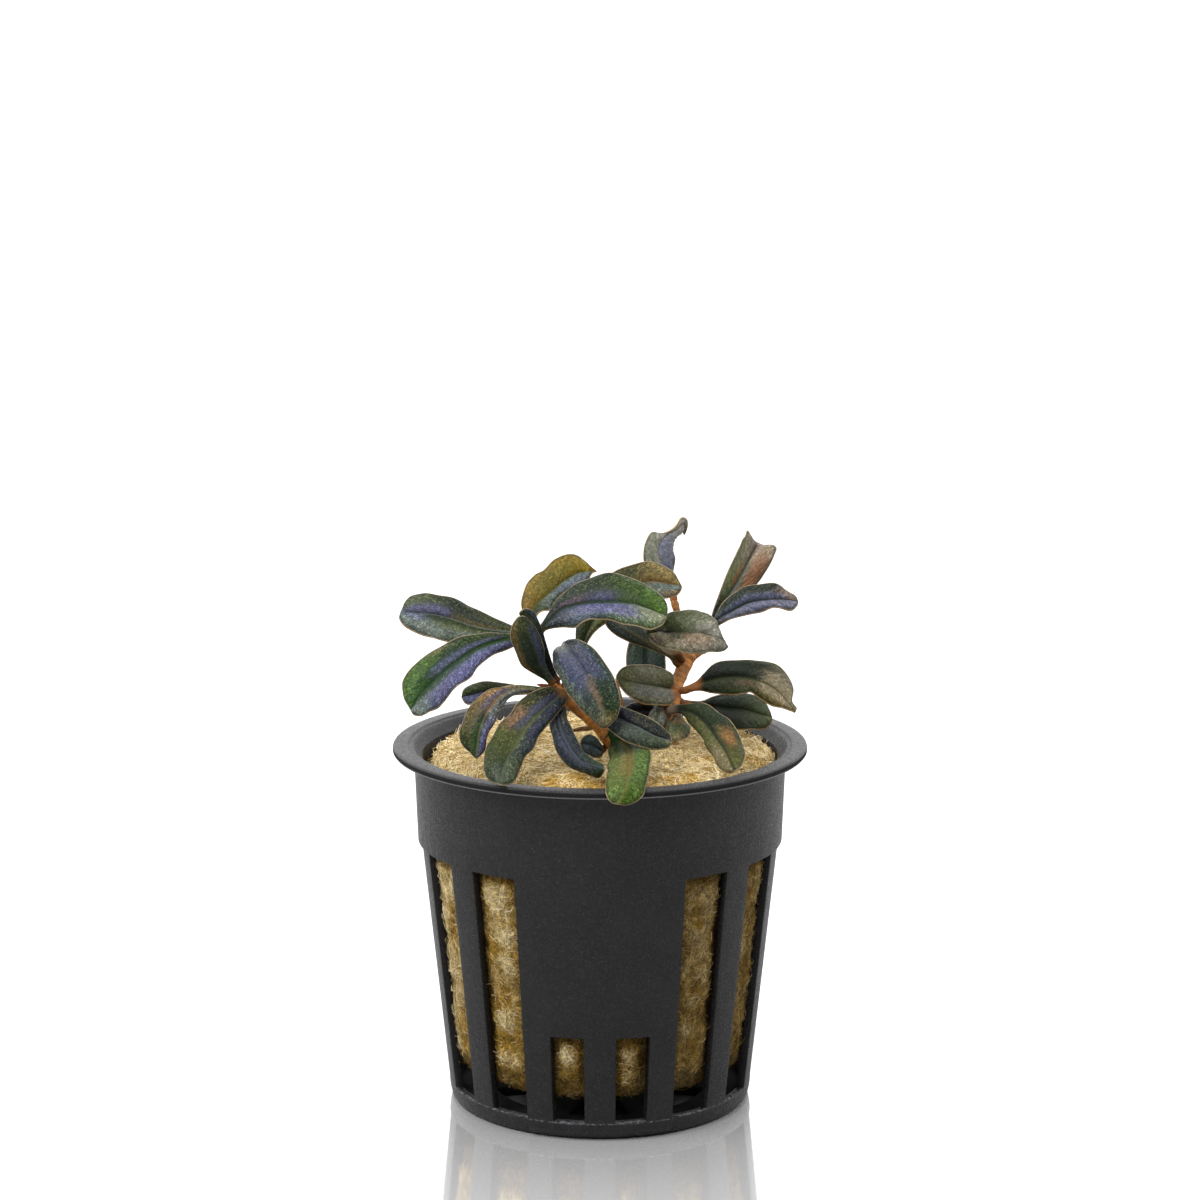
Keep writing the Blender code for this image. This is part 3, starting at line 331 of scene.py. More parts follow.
LEFT_LEAVES["front_left_leaf"] = dict(
    rib=(564, 692, -10.2, 546, 707.5, -12.8, 531, 722, -15, 520.5, 737, -17, 512, 751.5, -19, 504.5, 766, -21,
        500.5, 785.5, -23.2),
    left=(568, 700, 556, 716, 545.5, 728, 538, 738.5, 532, 750, 525, 757.5, 522, 766.5, 517.5, 776.5,
        510.5, 784),
    right=(548.5, 687, 537, 690.5, 526.5, 694.5, 517.5, 703, 510, 714, 500, 722.5, 492.5, 734, 487, 748.5,
        484, 760.5, 484, 771, 488.5, 780),
    slot="leaf_green", lean=(0.1, 0.5), tones="shade+slate slate+deep deep+sage shade moss deep",
    zones=(("bronze+rose", 0.34, 0.52, 0.35, 0.9, 0.7), ("fresh+leaf", 0.04, 0.16, 0.7, 1.1, 0.25),
        ("violet+slate", 0.08, 0.5, 0.03, 0.35, 0.6), ("plum+slate", 0.15, 0.55, -0.75, -0.2, 0.6),
        ("olive+sage", 0.3, 0.68, -0.12, 0.05, 0.8), ("sage+slate", 0.84, 1.2, -0.6, 0.6, 0.5)),
    rib_look=("sage+moss", 0.2, 0.5), flecks=0.9, edge="olive+bronze")
LEFT_LEAVES["dark_hanging_leaf"] = dict(
    rib=(558, 702, -10, 558, 714, -11.6, 560.5, 728, -13.8, 566, 741, -15.4, 573.5, 753, -17, 584, 763, -18.6,
        605.5, 769, -20.6),
    left=(566, 709, 568, 719, 572, 729.5, 578, 741, 586.5, 753, 595.5, 760.5, 603.5, 764.5),
    right=(553, 713, 550, 722, 550, 731, 553, 743, 558.5, 754.5, 567.5, 765, 579, 772.5, 591, 776,
        600, 777.5),
    slot="leaf_dark", lean=(0.7, 0.2), tones="shade shade+slate deep+forest shade shade+slate deep+forest",
    # The two thin mist zones beside the rib are painted highlight streaks.
    zones=(("plum+slate", 0.35, 0.9, -0.15, 0.5, 0.4), ("mist", 0.12, 0.3, -0.36, -0.3, 0.8),
        ("mist", 0.1, 0.26, 0.34, 0.4, 0.8), ("shade", 0, 0.9, -0.16, 0, 0.7)),
    rib_look=("slate+steel", 0.16, 0.5), flecks=0.5, edge="tan+moss")
LEFT_LEAVES["low_centre_leaf"] = dict(
    rib=(597, 716.5, -9.3, 605, 715, -10.8, 618, 718, -12.8, 628.5, 723.5, -13.8, 639, 728, -14.6,
        653, 735.5, -15.4, 672.5, 742.5, -16),
    left=(604, 706, 613, 704, 622.5, 706, 632, 709.5, 642, 714, 653.5, 721, 664, 727.5, 670, 734),
    right=(598, 716, 604, 725, 613, 733.5, 624, 741, 638.5, 746.5, 653, 750, 667, 748.5),
    slot="leaf_purple", lean=(0.7, -0.4), tones="plum+slate shade shade slate+plum slate+sage deep+sage",
    zones=(("plum+slate", -0.1, 0.45, -0.7, 0.1, 0.4), ("deep+shade", 0.5, 0.9, 0.2, 0.9, 0.6),
        ("rose+tan", 0.97, 1.2, -1.1, 1.1, 0.6)),
    rib_look=("sage+steel", 0.16, 0.6), flecks=0.6, edge="tan+olive")
LEFT_LEAVES["green_front_leaf"] = dict(
    rib=(613, 738, -9.4, 621, 742, -10.4, 629, 752, -14.2, 630, 764, -19, 628.5, 777, -23.6,
        625.5, 789, -26.6, 618, 804.5, -27.6),
    left=(622, 738, 634, 739, 645, 744, 651.5, 753, 651, 763, 649, 775, 646, 787, 643, 795.5, 635.5, 802,
        626, 805.5),
    right=(611, 742, 609, 750, 608, 763, 606.5, 776.5, 605, 787, 607, 796, 611.5, 803),
    slot="leaf_bright", lean=(0.15, 0.15),
    tones="deep+moss fresh+leaf+sage fresh+leaf+moss deep+moss olive+fresh+sage fresh+leaf+sage",
    # The deep zone at the root is a painted shadow from the low centre leaf.
    zones=(("olive+tan", 0.2, 0.6, -0.2, 0.32, 0.6), ("deep+forest", -0.1, 0.33, -1.1, 0.6, 0.85)),
    rib_look=("olive+tan", 0.3, 0.4), flecks=0.8, edge="olive+tan", stalk=("deep+forest", 0.12), sheen=0.02)
LEFT_LEAVES["round_shaded_leaf"] = dict(
    rib=(600, 753.5, -8.2, 597, 748.5, -9, 590, 745, -10, 579.5, 744, -10.8),
    left=(602, 757, 596, 758, 588, 757, 581.5, 752),
    right=(602, 745, 596, 737, 588, 734.5, 581.5, 738.5),
    slot="leaf_dark", lean=(-0.3, 0.6),
    tones="slate+steel steel+forest steel slate+steel steel+forest slate+forest",
    rib_look=("slate", 0.3, 0.4), flecks=0.3, edge="tan+moss")

RIGHT_LEAVES = {}
RIGHT_LEAVES["curled_top_leaf"] = dict(
    rib=(673.5, 598, 6.4, 669, 580, 7.2, 660, 560, 8, 659, 546, 8.8, 666, 535, 10, 676, 529.5, 11.4,
        683.5, 523, 12.4, 684, 535.5, 13.4),
    left=(666, 588, 652, 577, 644.5, 563, 643.5, 550, 646, 540, 652, 531.5, 663, 532.5, 673, 527.5,
        680.5, 517.5, 687, 519, 687.5, 527),
    right=(675, 586, 675, 573, 673.5, 558, 673, 548, 675, 540, 679.5, 533.5, 681.5, 531),
    slot="leaf_grey", lean=(0.3, 0.3),
    tones="steel+mist steel+sage+pale+pale pale plum+steel violet+steel+mist pale",
    zones=(("violet+slate", 0.05, 0.36, 0.05, 1.1, 0.4), ("sage", 0.28, 0.6, -1.1, -0.2, 0.5),
        ("mist+tan", 0.1, 0.45, -0.14, 0.05, 0.5), ("olive+tan", 0.9, 1.2, -1.1, 1.1, 0.6)),
    rib_look=("slate+steel", 0.2, 0.4), flecks=0.1, edge="tan+gold", stalk=("orange+rust", 0.1))
RIGHT_LEAVES["tall_right_leaf"] = dict(
    rib=(713.5, 626.5, 6.6, 717.5, 611, 7.2, 727, 598, 7.8, 736, 584, 8.6, 745, 566, 9.8, 752, 552, 11.6,
        757.5, 543, 13.6),
    left=(712, 613, 719, 593, 727.5, 571.5, 735.5, 555, 740, 541, 744, 536, 747.7, 530, 750, 535, 753.5, 540),
    right=(718, 616, 727, 608, 742, 598, 758, 583, 768, 568.5, 774.5, 555.5, 776.2, 547.8, 767, 546.5),
    slot="leaf_olive", lean=(0.2, 0.3),
    tones="deep+shade moss+sage tan+mist+pale deep+steel sage+bronze tan+pale",
    zones=(("orange+tan", 0.46, 0.68, -0.45, -0.12, 0.45), ("orange+rose", 0.46, 0.78, 0.25, 0.85, 0.5),
        ("moss+olive", 0.3, 0.9, -1.1, -0.6, 0.4), ("steel+sage", 0.3, 0.95, -0.08, 0.1, 0.6),
        ("mist+rose", 0.86, 1.2, -1.1, 1.1, 0.8)),
    rib_look=("steel+sage", 0.3, 0.5), flecks=0.25, edge="bronze+olive", stalk=("deep+moss", 0.05))
RIGHT_LEAVES["upper_right_leaf"] = dict(
    rib=(715.5, 628.5, 5.2, 719, 619, 4.6, 732.5, 611, 4, 747.5, 603.5, 3.4, 762, 600.5, 3, 780.5, 599.5, 2.8,
        798.5, 602, 2.8),
    left=(716, 614.5, 724, 603, 734, 593, 745.5, 586, 757.5, 584, 775.5, 583.5, 787, 589.5, 795.5, 595.5),
    right=(717.5, 627, 726, 622, 739, 617.5, 759, 612.5, 774, 608.5, 790.5, 610.5, 797, 606.5),
    slot="leaf_green", lean=(0.7, -0.6),
    tones="steel+sage deep+slate bronze+mist steel+mist violet+mist steel+violet+mist",
    zones=(("violet+slate+steel", 0.12, 0.85, -0.36, -0.03, 0.8),
        ("deep+shade", 0.2, 0.75, -1.1, -0.42, 0.85), ("violet+steel", 0.15, 0.7, 0.15, 0.85, 0.5)),
    rib_look=("deep+shade", 0.26, 0.8), flecks=0.5, edge="tan+bronze", stalk=("sage+deep", 0.06))
RIGHT_LEAVES["wrinkled_leaf"] = dict(
    rib=(678.5, 654, 1.2, 664, 646, -2, 653, 639, -4.8, 654, 633, -6.4, 666, 632, -7.6, 679.5, 632.3, -8.6,
        693, 632.7, -9.2, 706, 634.3, -9.4, 720, 638.5, -9.2, 728, 647, -8.8),
    left=(672, 648, 662, 641, 651, 634, 648.5, 629.5, 655, 621, 666, 614.5, 682.5, 610, 693, 608.5,
        701, 610.5, 709.5, 614.5, 716, 621, 719.5, 629.5, 722, 639),
    right=(672, 656, 662, 650, 651, 642, 649, 638.5, 655, 644.5, 666, 649.5, 679.5, 652, 697.5, 653,
        714, 652.5, 724, 651),
    slot="leaf_grey", lean=(0.6, -0.6),
    tones="deep+moss moss+sage mist+pale sage+tan tan+sage+pale rose+sage+mist",
    zones=(("deep+moss", 0.3, 0.8, -1.1, -0.6, 0.5), ("deep+forest", 0.5, 0.64, 0.02, 0.42, 0.85),
        # The mist zone on the rib is a painted highlight.
        ("tan+rose", 0.6, 0.85, 0.1, 0.6, 0.4), ("mist", 0.36, 0.46, -0.12, 0.14, 1),
        ("shade", 0.44, 0.5, -0.1, 0.12, 0.7), ("sage+mist", 0.84, 1.2, -1.1, 1.1, 0.5)),
    rib_look=("moss+deep", 0.22, 0.6), flecks=0.5, edge="olive+sage", stalk=("rust+moss", 0.1), wrinkle=0.12)
RIGHT_LEAVES["grey_underside_leaf"] = dict(
    rib=(676, 662, 2.2, 666, 654.5, 1.3, 648, 643, -1.2, 628, 631, -4, 606, 617, -6.4),
    left=(670, 659, 658, 652.5, 642, 646.5, 626, 641, 611, 632, 605, 623),
    right=(677, 654, 666, 645, 650, 631, 635, 620, 618, 613),
    slot="leaf_grey", lean=(-0.5, 0.5),
    tones="sage+slate slate+moss steel+sage sage+tan+mist slate+sage steel+sage+mist",
    rib_look=("sage+tan", 0.3, 0.4), flecks=0.2, edge="tan+olive", ridge=1)
RIGHT_LEAVES["upright_back_leaf"] = dict(
    rib=(668, 722, -0.9, 662, 714, 1.2, 652, 700, 4, 646, 678, 6.4, 645, 655, 8.4, 647, 629, 10),
    left=(650, 706, 634, 690, 627, 672, 626, 655, 630, 639, 638, 630),
    right=(661, 704, 664, 688, 665.5, 670, 665.5, 652, 662, 638, 655, 630),
    slot="leaf_green", lean=(0.1, 0.1),
    tones="forest+deep forest+slate forest+deep forest+deep forest+slate deep+forest",
    rib_look=("slate+forest", 0.26, 0.5), flecks=0.5, edge="moss+tan")
RIGHT_LEAVES["oval_leaf"] = dict(
    rib=(676, 690.5, -1.4, 663, 687.4, -3, 649.5, 685, -4.4, 634.5, 682.5, -5.4, 615.5, 679.5, -6),
    left=(675, 698, 672, 704, 666, 706, 653, 705, 639.5, 702.5, 626.5, 696, 619.5, 687),
    right=(674, 684, 673, 675, 667.5, 670.5, 658, 666.5, 644.5, 664, 631, 665, 621.5, 669, 616.5, 674.5),
    slot="leaf_grey", lean=(-0.6, 0.6),
    tones="sage+pale sage+olive+pale sage+olive sage+olive sage+olive+pale olive+sage",
    zones=(("steel+mist", 0.2, 0.7, -0.7, -0.15, 0.4),),
    rib_look=("deep+sage", 0.26, 0.8), flecks=0.15, edge="tan+gold", stalk=("orange+tan", 0.1))
RIGHT_LEAVES["large_right_leaf"] = dict(
    rib=(685, 690.5, 0, 692, 688, -0.4, 700, 684.5, -0.8, 717.5, 679, -1.6, 739, 677.5, -2.4, 759, 681, -3,
        775, 689, -3.6, 787, 701, -4.2, 795, 713, -4.6),
    left=(692, 684, 699, 679.5, 704, 672.5, 712.5, 666, 726, 661, 742.5, 659.5, 757, 660, 769, 662,
        781, 667.5, 790.5, 677.5, 793.5, 689, 792, 701, 796.5, 708),
    right=(693, 691.5, 701, 691, 712, 693.5, 728, 695, 745, 694.5, 751, 693, 761, 699.5, 771, 705.5,
        781, 708.5, 789.5, 711),
    slot="leaf_green", lean=(0.7, -0.4),
    tones="shade deep+shade tan+pale+olive shade+deep deep+sage+moss tan+olive",
    zones=(("sage+moss", 0.4, 0.75, -1.1, -0.8, 0.4), ("tan+olive+pale", 0.62, 0.95, -0.5, 0.6, 0.85),
        ("bronze+rose", 0.42, 0.6, 0.1, 0.5, 0.4)),
    rib_look=("deep+moss", 0.24, 0.7), flecks=0.2, edge="gold+tan", stalk=("orange+tan", 0.13))
RIGHT_LEAVES["low_right_leaf"] = dict(
    rib=(682.5, 703, 0.8, 692, 704, 1.8, 708, 706, 3.2, 727, 708.5, 4.4, 746, 710, 5.4, 772, 718, 6.4),
    left=(691, 700.5, 702, 700.5, 712, 696.5, 727, 693.5, 746, 692.5, 757, 696.5, 766, 702.5, 770, 710),
    right=(691, 708, 705, 716, 720, 724.5, 738, 730, 756, 730, 767, 728, 771.5, 723),
    slot="leaf_green", lean=(0.7, -0.6), tones="deep+shade shade+deep sage shade+deep deep+shade moss+sage",
    zones=(("sage+steel", 0.1, 0.6, -0.75, -0.6, 0.35),),
    rib_look=("deep+shade", 0.3, 0.7), flecks=0.15, edge="tan+bronze", stalk=("orange+tan", 0.08))
RIGHT_LEAVES["drooping_right_leaf"] = dict(
    rib=(669, 711, -3.6, 675, 709, -4.7, 683, 709, -5.8, 694.5, 713, -7.4, 705, 722, -9.4, 715, 735.5, -11.8,
        724, 748.5, -14.4, 731, 762, -16.8, 735.5, 771.5, -18.4),
    left=(675, 704.5, 685, 704.5, 695, 703.5, 705, 704, 715, 708.5, 727, 717.5, 735.5, 728, 741.5, 740,
        745.3, 751.5, 744, 761, 740, 768),
    right=(674.5, 714, 681, 713.5, 686.5, 718, 693, 727, 701.5, 737.5, 707.5, 749, 715, 762, 722, 770.5,
        730, 773.5),
    slot="leaf_olive", lean=(0.5, 0.1),
    tones="sage+deep deep moss+olive deep+sage sage+moss+olive sage+olive+tan",
    zones=(("tan+orange", 0.6, 0.75, -0.7, -0.2, 0.6), ("tan+olive", 0.55, 0.68, -0.45, -0.05, 0.4),
        ("tan+olive+pale", 0.66, 1.1, 0.2, 0.9, 0.5)),
    rib_look=("deep+shade", 0.24, 0.8), flecks=0.3, edge="tan+gold", stalk=("tan+mist", 0.08))
RIGHT_LEAVES["dark_shaded_leaf"] = dict(
    rib=(661.5, 712, -0.6, 655, 711, -1.2, 640, 711, -2.6, 623, 713, -4),
    left=(656, 715, 645, 719, 633, 719.5, 625, 717),
    right=(656, 706, 645, 702, 634, 702.5, 625, 707),
    slot="leaf_dark", lean=(-0.4, 0.5), tones="shade+slate slate+shade slate shade shade slate",
    rib_look=("slate", 0.3, 0.4), flecks=0.2, edge="moss+tan")
RIGHT_LEAVES["small_grey_leaf"] = dict(
    rib=(660, 704, -2.2, 659, 711, -4, 656, 719, -5.2, 652, 728, -6),
    left=(663.5, 711, 667, 719, 666, 726, 660, 731),
    right=(655, 706, 650.5, 712, 648.5, 720),
    slot="leaf_grey", lean=(0.2, 0.6), tones="sage+tan sage+mist deep+sage moss+sage sage+mist deep+moss",
    rib_look=("forest", 0.24, 0.5), flecks=0.4, edge="tan+olive")
RIGHT_LEAVES["small_pale_leaf"] = dict(
    rib=(679, 717, -3.2, 676, 722, -5, 675, 730, -7, 678, 741, -8.6),
    left=(683, 719, 688, 723, 690.5, 730, 687, 738),
    right=(672, 719, 667, 725, 667, 734, 671, 741),
    slot="leaf_grey", lean=(0.3, 0.3), tones="deep sage+moss sage+tan deep sage sage+tan",
    zones=(("tan+orange", 0.1, 0.35, -0.4, 0.4, 0.5),),
    rib_look=("moss+sage", 0.24, 0.5), flecks=0.4, edge="tan+olive")

# Sizes and finishes that a user may change


def a_length(name, text, default, low, high, precision=5):
    return bpy.props.FloatProperty(name=name, description=text, default=default, min=low, max=high,
                                   precision=precision, unit="LENGTH")


def a_share(name, text, default, subtype="FACTOR", high=1.0):
    return bpy.props.FloatProperty(name=name, description=text, default=default, min=0.0, max=high,
                                   subtype=subtype)


def a_colour(name, text, default):
    return bpy.props.FloatVectorProperty(name=name, description=text, default=default, min=0.0, max=1.0,
                                         subtype="COLOR")


def a_count(name, text, default, low, high):
    return bpy.props.IntProperty(name=name, description=text, default=default, min=low, max=high)


class PotSettings(bpy.types.PropertyGroup):
    """Sizes and colour of the net pot."""
    rim_radius: a_length("Rim radius", "Outer radius of the flange", RIM.x, 0.01, 0.2)
    edge_round: a_length("Edge rounding", "Rounding of the moulding's edges", 0.11 * MM, 0.0, 0.001)
    facet: bpy.props.FloatProperty(
        name="Facet angle", description="Widest step between two columns of the wall", default=radians(2),
        min=radians(0.5), max=radians(10), subtype="ANGLE")
    plastic: a_colour("Plastic", "Colour of the moulded plastic", (0.003, 0.0027, 0.0032))
    roughness: a_share("Roughness", "Roughness of the moulded plastic", 0.33)


class WoolSettings(bpy.types.PropertyGroup):
    """Lumps, strands and colours of the stone wool."""
    lumps: a_length("Lumps", "Height of the plug's lumps", 0.32 * MM, 0.0, 0.002)
    slot_swell: a_length("Slot swell", "How far the plug swells into the pot's slots", 0.6 * MM, 0.0, 0.001)
    strand_length: a_length("Strand length", "Length of a strand", 2.7 * MM, 0.001, 0.02)
    strand_radius: a_length("Strand radius", "Half a strand's thickness", 0.042 * MM, 1e-5, 0.001, 6)
    top_strands: a_count("Strands on top", "How many strands lie on the plug's top", 12000, 100, 12000)
    side_strands: a_count("Strands at the slots", "How many strands lie behind the slots", 8000, 100, 12000)
    cream: a_colour("Cream", "Colour of the clean wool", (0.86, 0.73, 0.44))
    # The ochre also colours painted shade: in the slit's crease and where the wool lies back behind the
    # slots.
    ochre: a_colour("Ochre", "Colour of the wool where its binder collects", (0.52, 0.325, 0.05))


class StemSettings(bpy.types.PropertyGroup):
    """Bark of the rhizomes and stalks."""
    sides: a_count("Sides", "Faces round a stem", 18, 6, 48)
    knob_height: a_length("Knob height", "Height of the knobs on a rhizome", 0.16 * MM, 0.0, 0.001)
    ring_spacing: a_length("Ring spacing", "Distance between the old leaf scars", 1.5 * MM, 0.0003, 0.01)
    bark: a_colour("Bark", "Colour of the rhizomes", (0.58, 0.23, 0.05))


class LeafSettings(bpy.types.PropertyGroup):
    """Form shared by all the leaves."""
    thickness: a_length("Thickness", "Thickness of a blade", 0.36 * MM, 0.0001, 0.001)
    ruffle: a_length("Ruffle", "Height of the waves along the margins", 0.2 * MM, 0.0, 0.001)
    vein_spacing: a_length("Vein spacing", "Distance between side veins", 1.1 * MM, 0.0003, 0.01)
    vein_height: a_length("Vein height", "Height of the folds between side veins", 0.03 * MM, 0.0, 0.0005, 6)
    stations: a_count("Stations", "Rows of faces along a leaf", 88, 20, 200)
    roughness: a_share("Roughness", "Roughness of the leaf skin", 0.36)


class StageSettings(bpy.types.PropertyGroup):
    """Floor, light and camera."""
    floor_colour: a_colour("Floor", "Colour of the floor", (0.96, 0.96, 0.96))
    floor_glow: a_share("Floor glow", "Light that the floor gives by itself, so that it stays white", 0.12,
                       "NONE", 2.0)
    floor_bounce: a_share("Floor bounce", "Share of its light that the floor throws back on the plant", 0.4)
    floor_gloss: a_share("Floor gloss", "How much of the floor's light is a mirror image", 0.72)
    surround: a_share("Surround", "Brightness of the white studio behind the plant", 1.45, "NONE", 5.0)
    front_share: a_share("Front share", "Brightness in front, as a share of that behind", 0.028)
    low_share: a_share("Low share", "Brightness near the floor, as a share of that behind", 0.48)
    top_share: a_share("Top share", "Brightness above, as a share of that behind", 0.42)
    key_power: bpy.props.FloatProperty(
        name="Key light", description="Power of the large soft light above", default=3.4, min=0.0,
        max=100.0, unit="POWER")
    focal_length: bpy.props.FloatProperty(
        name="Focal length", description="Focal length of the camera, in millimetres",
        default=SIGHT_SCALE * SENSOR_WIDTH / PICTURE_WIDTH, min=10.0, max=500.0)


# Node trees


class Wire:
    """A value on its way between nodes. A sign such as + or * used on it places a math node."""

    def __init__(self, web, socket):
        self.web, self.socket = web, socket

    def __abs__(self):
        return self.web.math("ABSOLUTE", self)


for sign, operation in (("add", "ADD"), ("sub", "SUBTRACT"), ("mul", "MULTIPLY"), ("truediv", "DIVIDE"),
                        ("pow", "POWER")):
    setattr(Wire, f"__{sign}__", lambda wire, other, kind=operation: wire.web.math(kind, wire, other))
    setattr(Wire, f"__r{sign}__", lambda wire, other, kind=operation: wire.web.math(kind, other, wire))


class Outlets:
    """A node's outlets by name or number, as wires."""

    def __init__(self, web, node):
        self.web, self.node = web, node

    def __getitem__(self, key):
        return Wire(self.web, self.node.outputs[key])


class Web:
    """Places nodes in a tree. A value for an inlet may be a wire or a plain value."""

    def __init__(self, tree):
        self.tree = tree

    def feed(self, node, values):
        for key, value in values.items():
            if isinstance(value, Wire):
                self.tree.links.new(value.socket, node.inputs[key])
            else:
                node.inputs[key].default_value = value

    def put(self, kind, inlets, **settings):
        node = self.tree.nodes.new(kind)
        for key, value in settings.items():
            setattr(node, key, value)
        self.feed(node, inlets)
        return Outlets(self, node)

    def math(self, operation, *values, clamp=False):
        return self.put("ShaderNodeMath", dict(enumerate(values)), operation=operation, use_clamp=clamp)[0]

    def arrow(self, operation, *values):
        return self.put("ShaderNodeVectorMath", dict(enumerate(values)), operation=operation)[0]

    def scaled(self, vector, size):
        return self.put("ShaderNodeVectorMath", {0: vector, "Scale": size}, operation="SCALE")[0]

    def length(self, vector):
        return self.put("ShaderNodeVectorMath", {0: vector}, operation="LENGTH")["Value"]

    def step(self, value, low, high, start=0.0, end=1.0):
        """Rises smoothly from start at low to end at high."""
        inlets = dict(enumerate((value, low, high, start, end)))
        return self.put("ShaderNodeMapRange", inlets, interpolation_type="SMOOTHSTEP")[0]

    def slope(self, *values):
        """Rises evenly from start at low to end at high and goes on beyond them."""
        return self.put("ShaderNodeMapRange", dict(enumerate(values)), clamp=False)[0]

    def band(self, value, rise, full, fall, end):
        """1 between full and fall and 0 below rise and above end, all four in millimetres."""
        return self.step(value, rise * MM, full * MM) * self.step(value, end * MM, fall * MM)

    def blend(self, share, first, second, how="MIX"):
        return self.put("ShaderNodeMix", {0: share, 6: first, 7: second}, data_type="RGBA",
                        blend_type=how)[2]

    def lit(self, colour, *light):
        """A colour times one light, or times a light for each channel."""
        return self.blend(1.0, colour, self.xyz(*(light * 3)[:3]), "MULTIPLY")

    def noise(self, vector, scale, detail=2.0, rough=0.5):
        inlets = {"Vector": vector, "Scale": scale, "Detail": detail, "Roughness": rough}
        return self.put("ShaderNodeTexNoise", inlets)[0]

    def cells(self, vector, scale):
        return self.put("ShaderNodeTexVoronoi", {"Vector": vector, "Scale": scale})

    def xyz(self, x, y, z):
        return self.put("ShaderNodeCombineXYZ", {0: x, 1: y, 2: z})[0]

    def split(self, vector):
        parts = self.put("ShaderNodeSeparateXYZ", {0: vector})
        return [parts[k] for k in range(3)]

    def attribute(self, name, outlet):
        return self.put("ShaderNodeAttribute", {}, attribute_name=name)[outlet]

    def group(self, make, inlets):
        return self.put("ShaderNodeGroup", inlets, node_tree=make())

    def geo(self, kind, inlets, outlet=0, **settings):
        return self.put("GeometryNode" + kind, inlets, **settings)[outlet]

    def named(self, name, kind="FLOAT"):
        return self.geo("InputNamedAttribute", {"Name": name}, "Attribute", data_type=kind)


SOCKET_KINDS = {float: "Float", int: "Int", tuple: "Color"}


def node_group(name, inlets, outlets, kind="ShaderNodeTree"):
    """Makes a function that lays out nodes into one that gives their group, made when first asked for.

    An inlet is given by its value, and one without a value, like an outlet, by its kind."""
    def made(lay_out):
        def group():
            tree = bpy.data.node_groups.get(name)
            if tree is None:
                tree = bpy.data.node_groups.new(name, kind)
                for in_out, sockets in (("INPUT", inlets), ("OUTPUT", outlets)):
                    for label, value in sockets.items():
                        plain = isinstance(value, str)
                        socket_type = "NodeSocket" + (value if plain else SOCKET_KINDS[type(value)])
                        socket = tree.interface.new_socket(label, in_out=in_out, socket_type=socket_type)
                        if not plain:
                            socket.default_value = value
                web = Web(tree)
                start = Outlets(web, tree.nodes.new("NodeGroupInput"))
                end = tree.nodes.new("NodeGroupOutput")
                web.feed(end, lay_out(web, start))
            return tree
        return group
    return made


GREY = (0.1, 0.1, 0.1, 1.0)
NEAR_BLACK = (0.012, 0.018, 0.01, 1.0)
TONE_DEPTH = 0.55
VEIN_SLANT = 1.1


def linear(channel):
    """A screen value from 0 to 255 as light."""
    share = channel / 255
    return share / 12.92 if share <= 0.04045 else ((share + 0.055) / 1.055) ** 2.4


def tone(words, depth=TONE_DEPTH):
    """The mean of the named tones, joined by plus signs, as a linear colour."""
    mixed = np.mean([[linear(c) for c in TONES[word]] for word in words.split("+")], axis=0)
    return (*(float(c) for c in mixed * depth), 1.0)


def leaf_place(web):
    """The way along a leaf, across it and in from its margin, how far out it is, and the slant way."""
    run, beside, margin = web.split(web.attribute("blade_mm", "Vector"))
    out = abs(beside)
    return run, beside, margin, out, run - out * VEIN_SLANT


@node_group("Leaf ground", {**{f"{at} {half}": GREY for half in ("Left", "Right")
                               for at in ("Root", "Middle", "Tip")}, "Seed": 0.0},
            {"Color": "Color", "Along": "Float", "Across": "Float", "Streak": "Float", "Fine": "Float",
             "Broad": "Float"})
def leaf_ground(web, inlet):
    """The tones down each half of the blade, and what the other leaf groups share.

    It reads the attributes blade, which is the share of the length, the share of the half width and 1
    on the underside, and blade_mm, which is the way along, across and in from the margin."""
    along, across, _ = web.split(web.attribute("blade", "Vector"))
    run, beside, _, out, slant = leaf_place(web)
    right = web.step(across, -0.06, 0.06)
    seed = inlet["Seed"] + right * 7.0
    streak = web.noise(web.xyz(slant, out * 0.4, seed), 2.0, 3.0, 0.55)
    flat = web.xyz(run, beside, inlet["Seed"])
    broad = web.noise(flat, 0.3, 3.0, 0.55)
    fine = web.noise(flat, 4.2, 3.0, 0.65)
    here = along + (broad - 0.5) * 0.24 + (streak - 0.5) * 0.16
    halves = []
    for half in ("Left", "Right"):
        colour = web.blend(web.step(here, 0.06, 0.5), inlet["Root " + half], inlet["Middle " + half])
        halves.append(web.blend(web.step(here, 0.5, 0.96), colour, inlet["Tip " + half]))
    return {"Color": web.blend(right, *halves), "Along": along, "Across": across, "Streak": streak,
            "Fine": fine, "Broad": broad}


@node_group("Leaf zone", {"Color": GREY, "Zone": GREY, "From": 0.0, "To": 1.0, "Left": -1.0, "Right": 1.0,
                          "Amount": 1.0, "Along": 0.0, "Across": 0.0, "Streak": 0.5, "Fine": 0.5},
            {"Color": "Color"})
def leaf_zone(web, inlet):
    """One more tone over part of the blade, frayed along the side veins."""
    loose = inlet["Streak"] - 0.5 + (inlet["Fine"] - 0.5) * 0.6
    mask = inlet["Amount"]
    for place, low, high, soft in ((inlet["Along"] + loose * 0.16, "From", "To", 0.06),
                                   (inlet["Across"] + loose * 0.34, "Left", "Right", 0.13)):
        mask = mask * web.step(place - inlet[low], -soft, soft)
        mask = mask * web.step(place - inlet[high], -soft, soft, 1.0, 0.0)
    return {"Color": web.blend(mask, inlet["Color"], inlet["Zone"])}


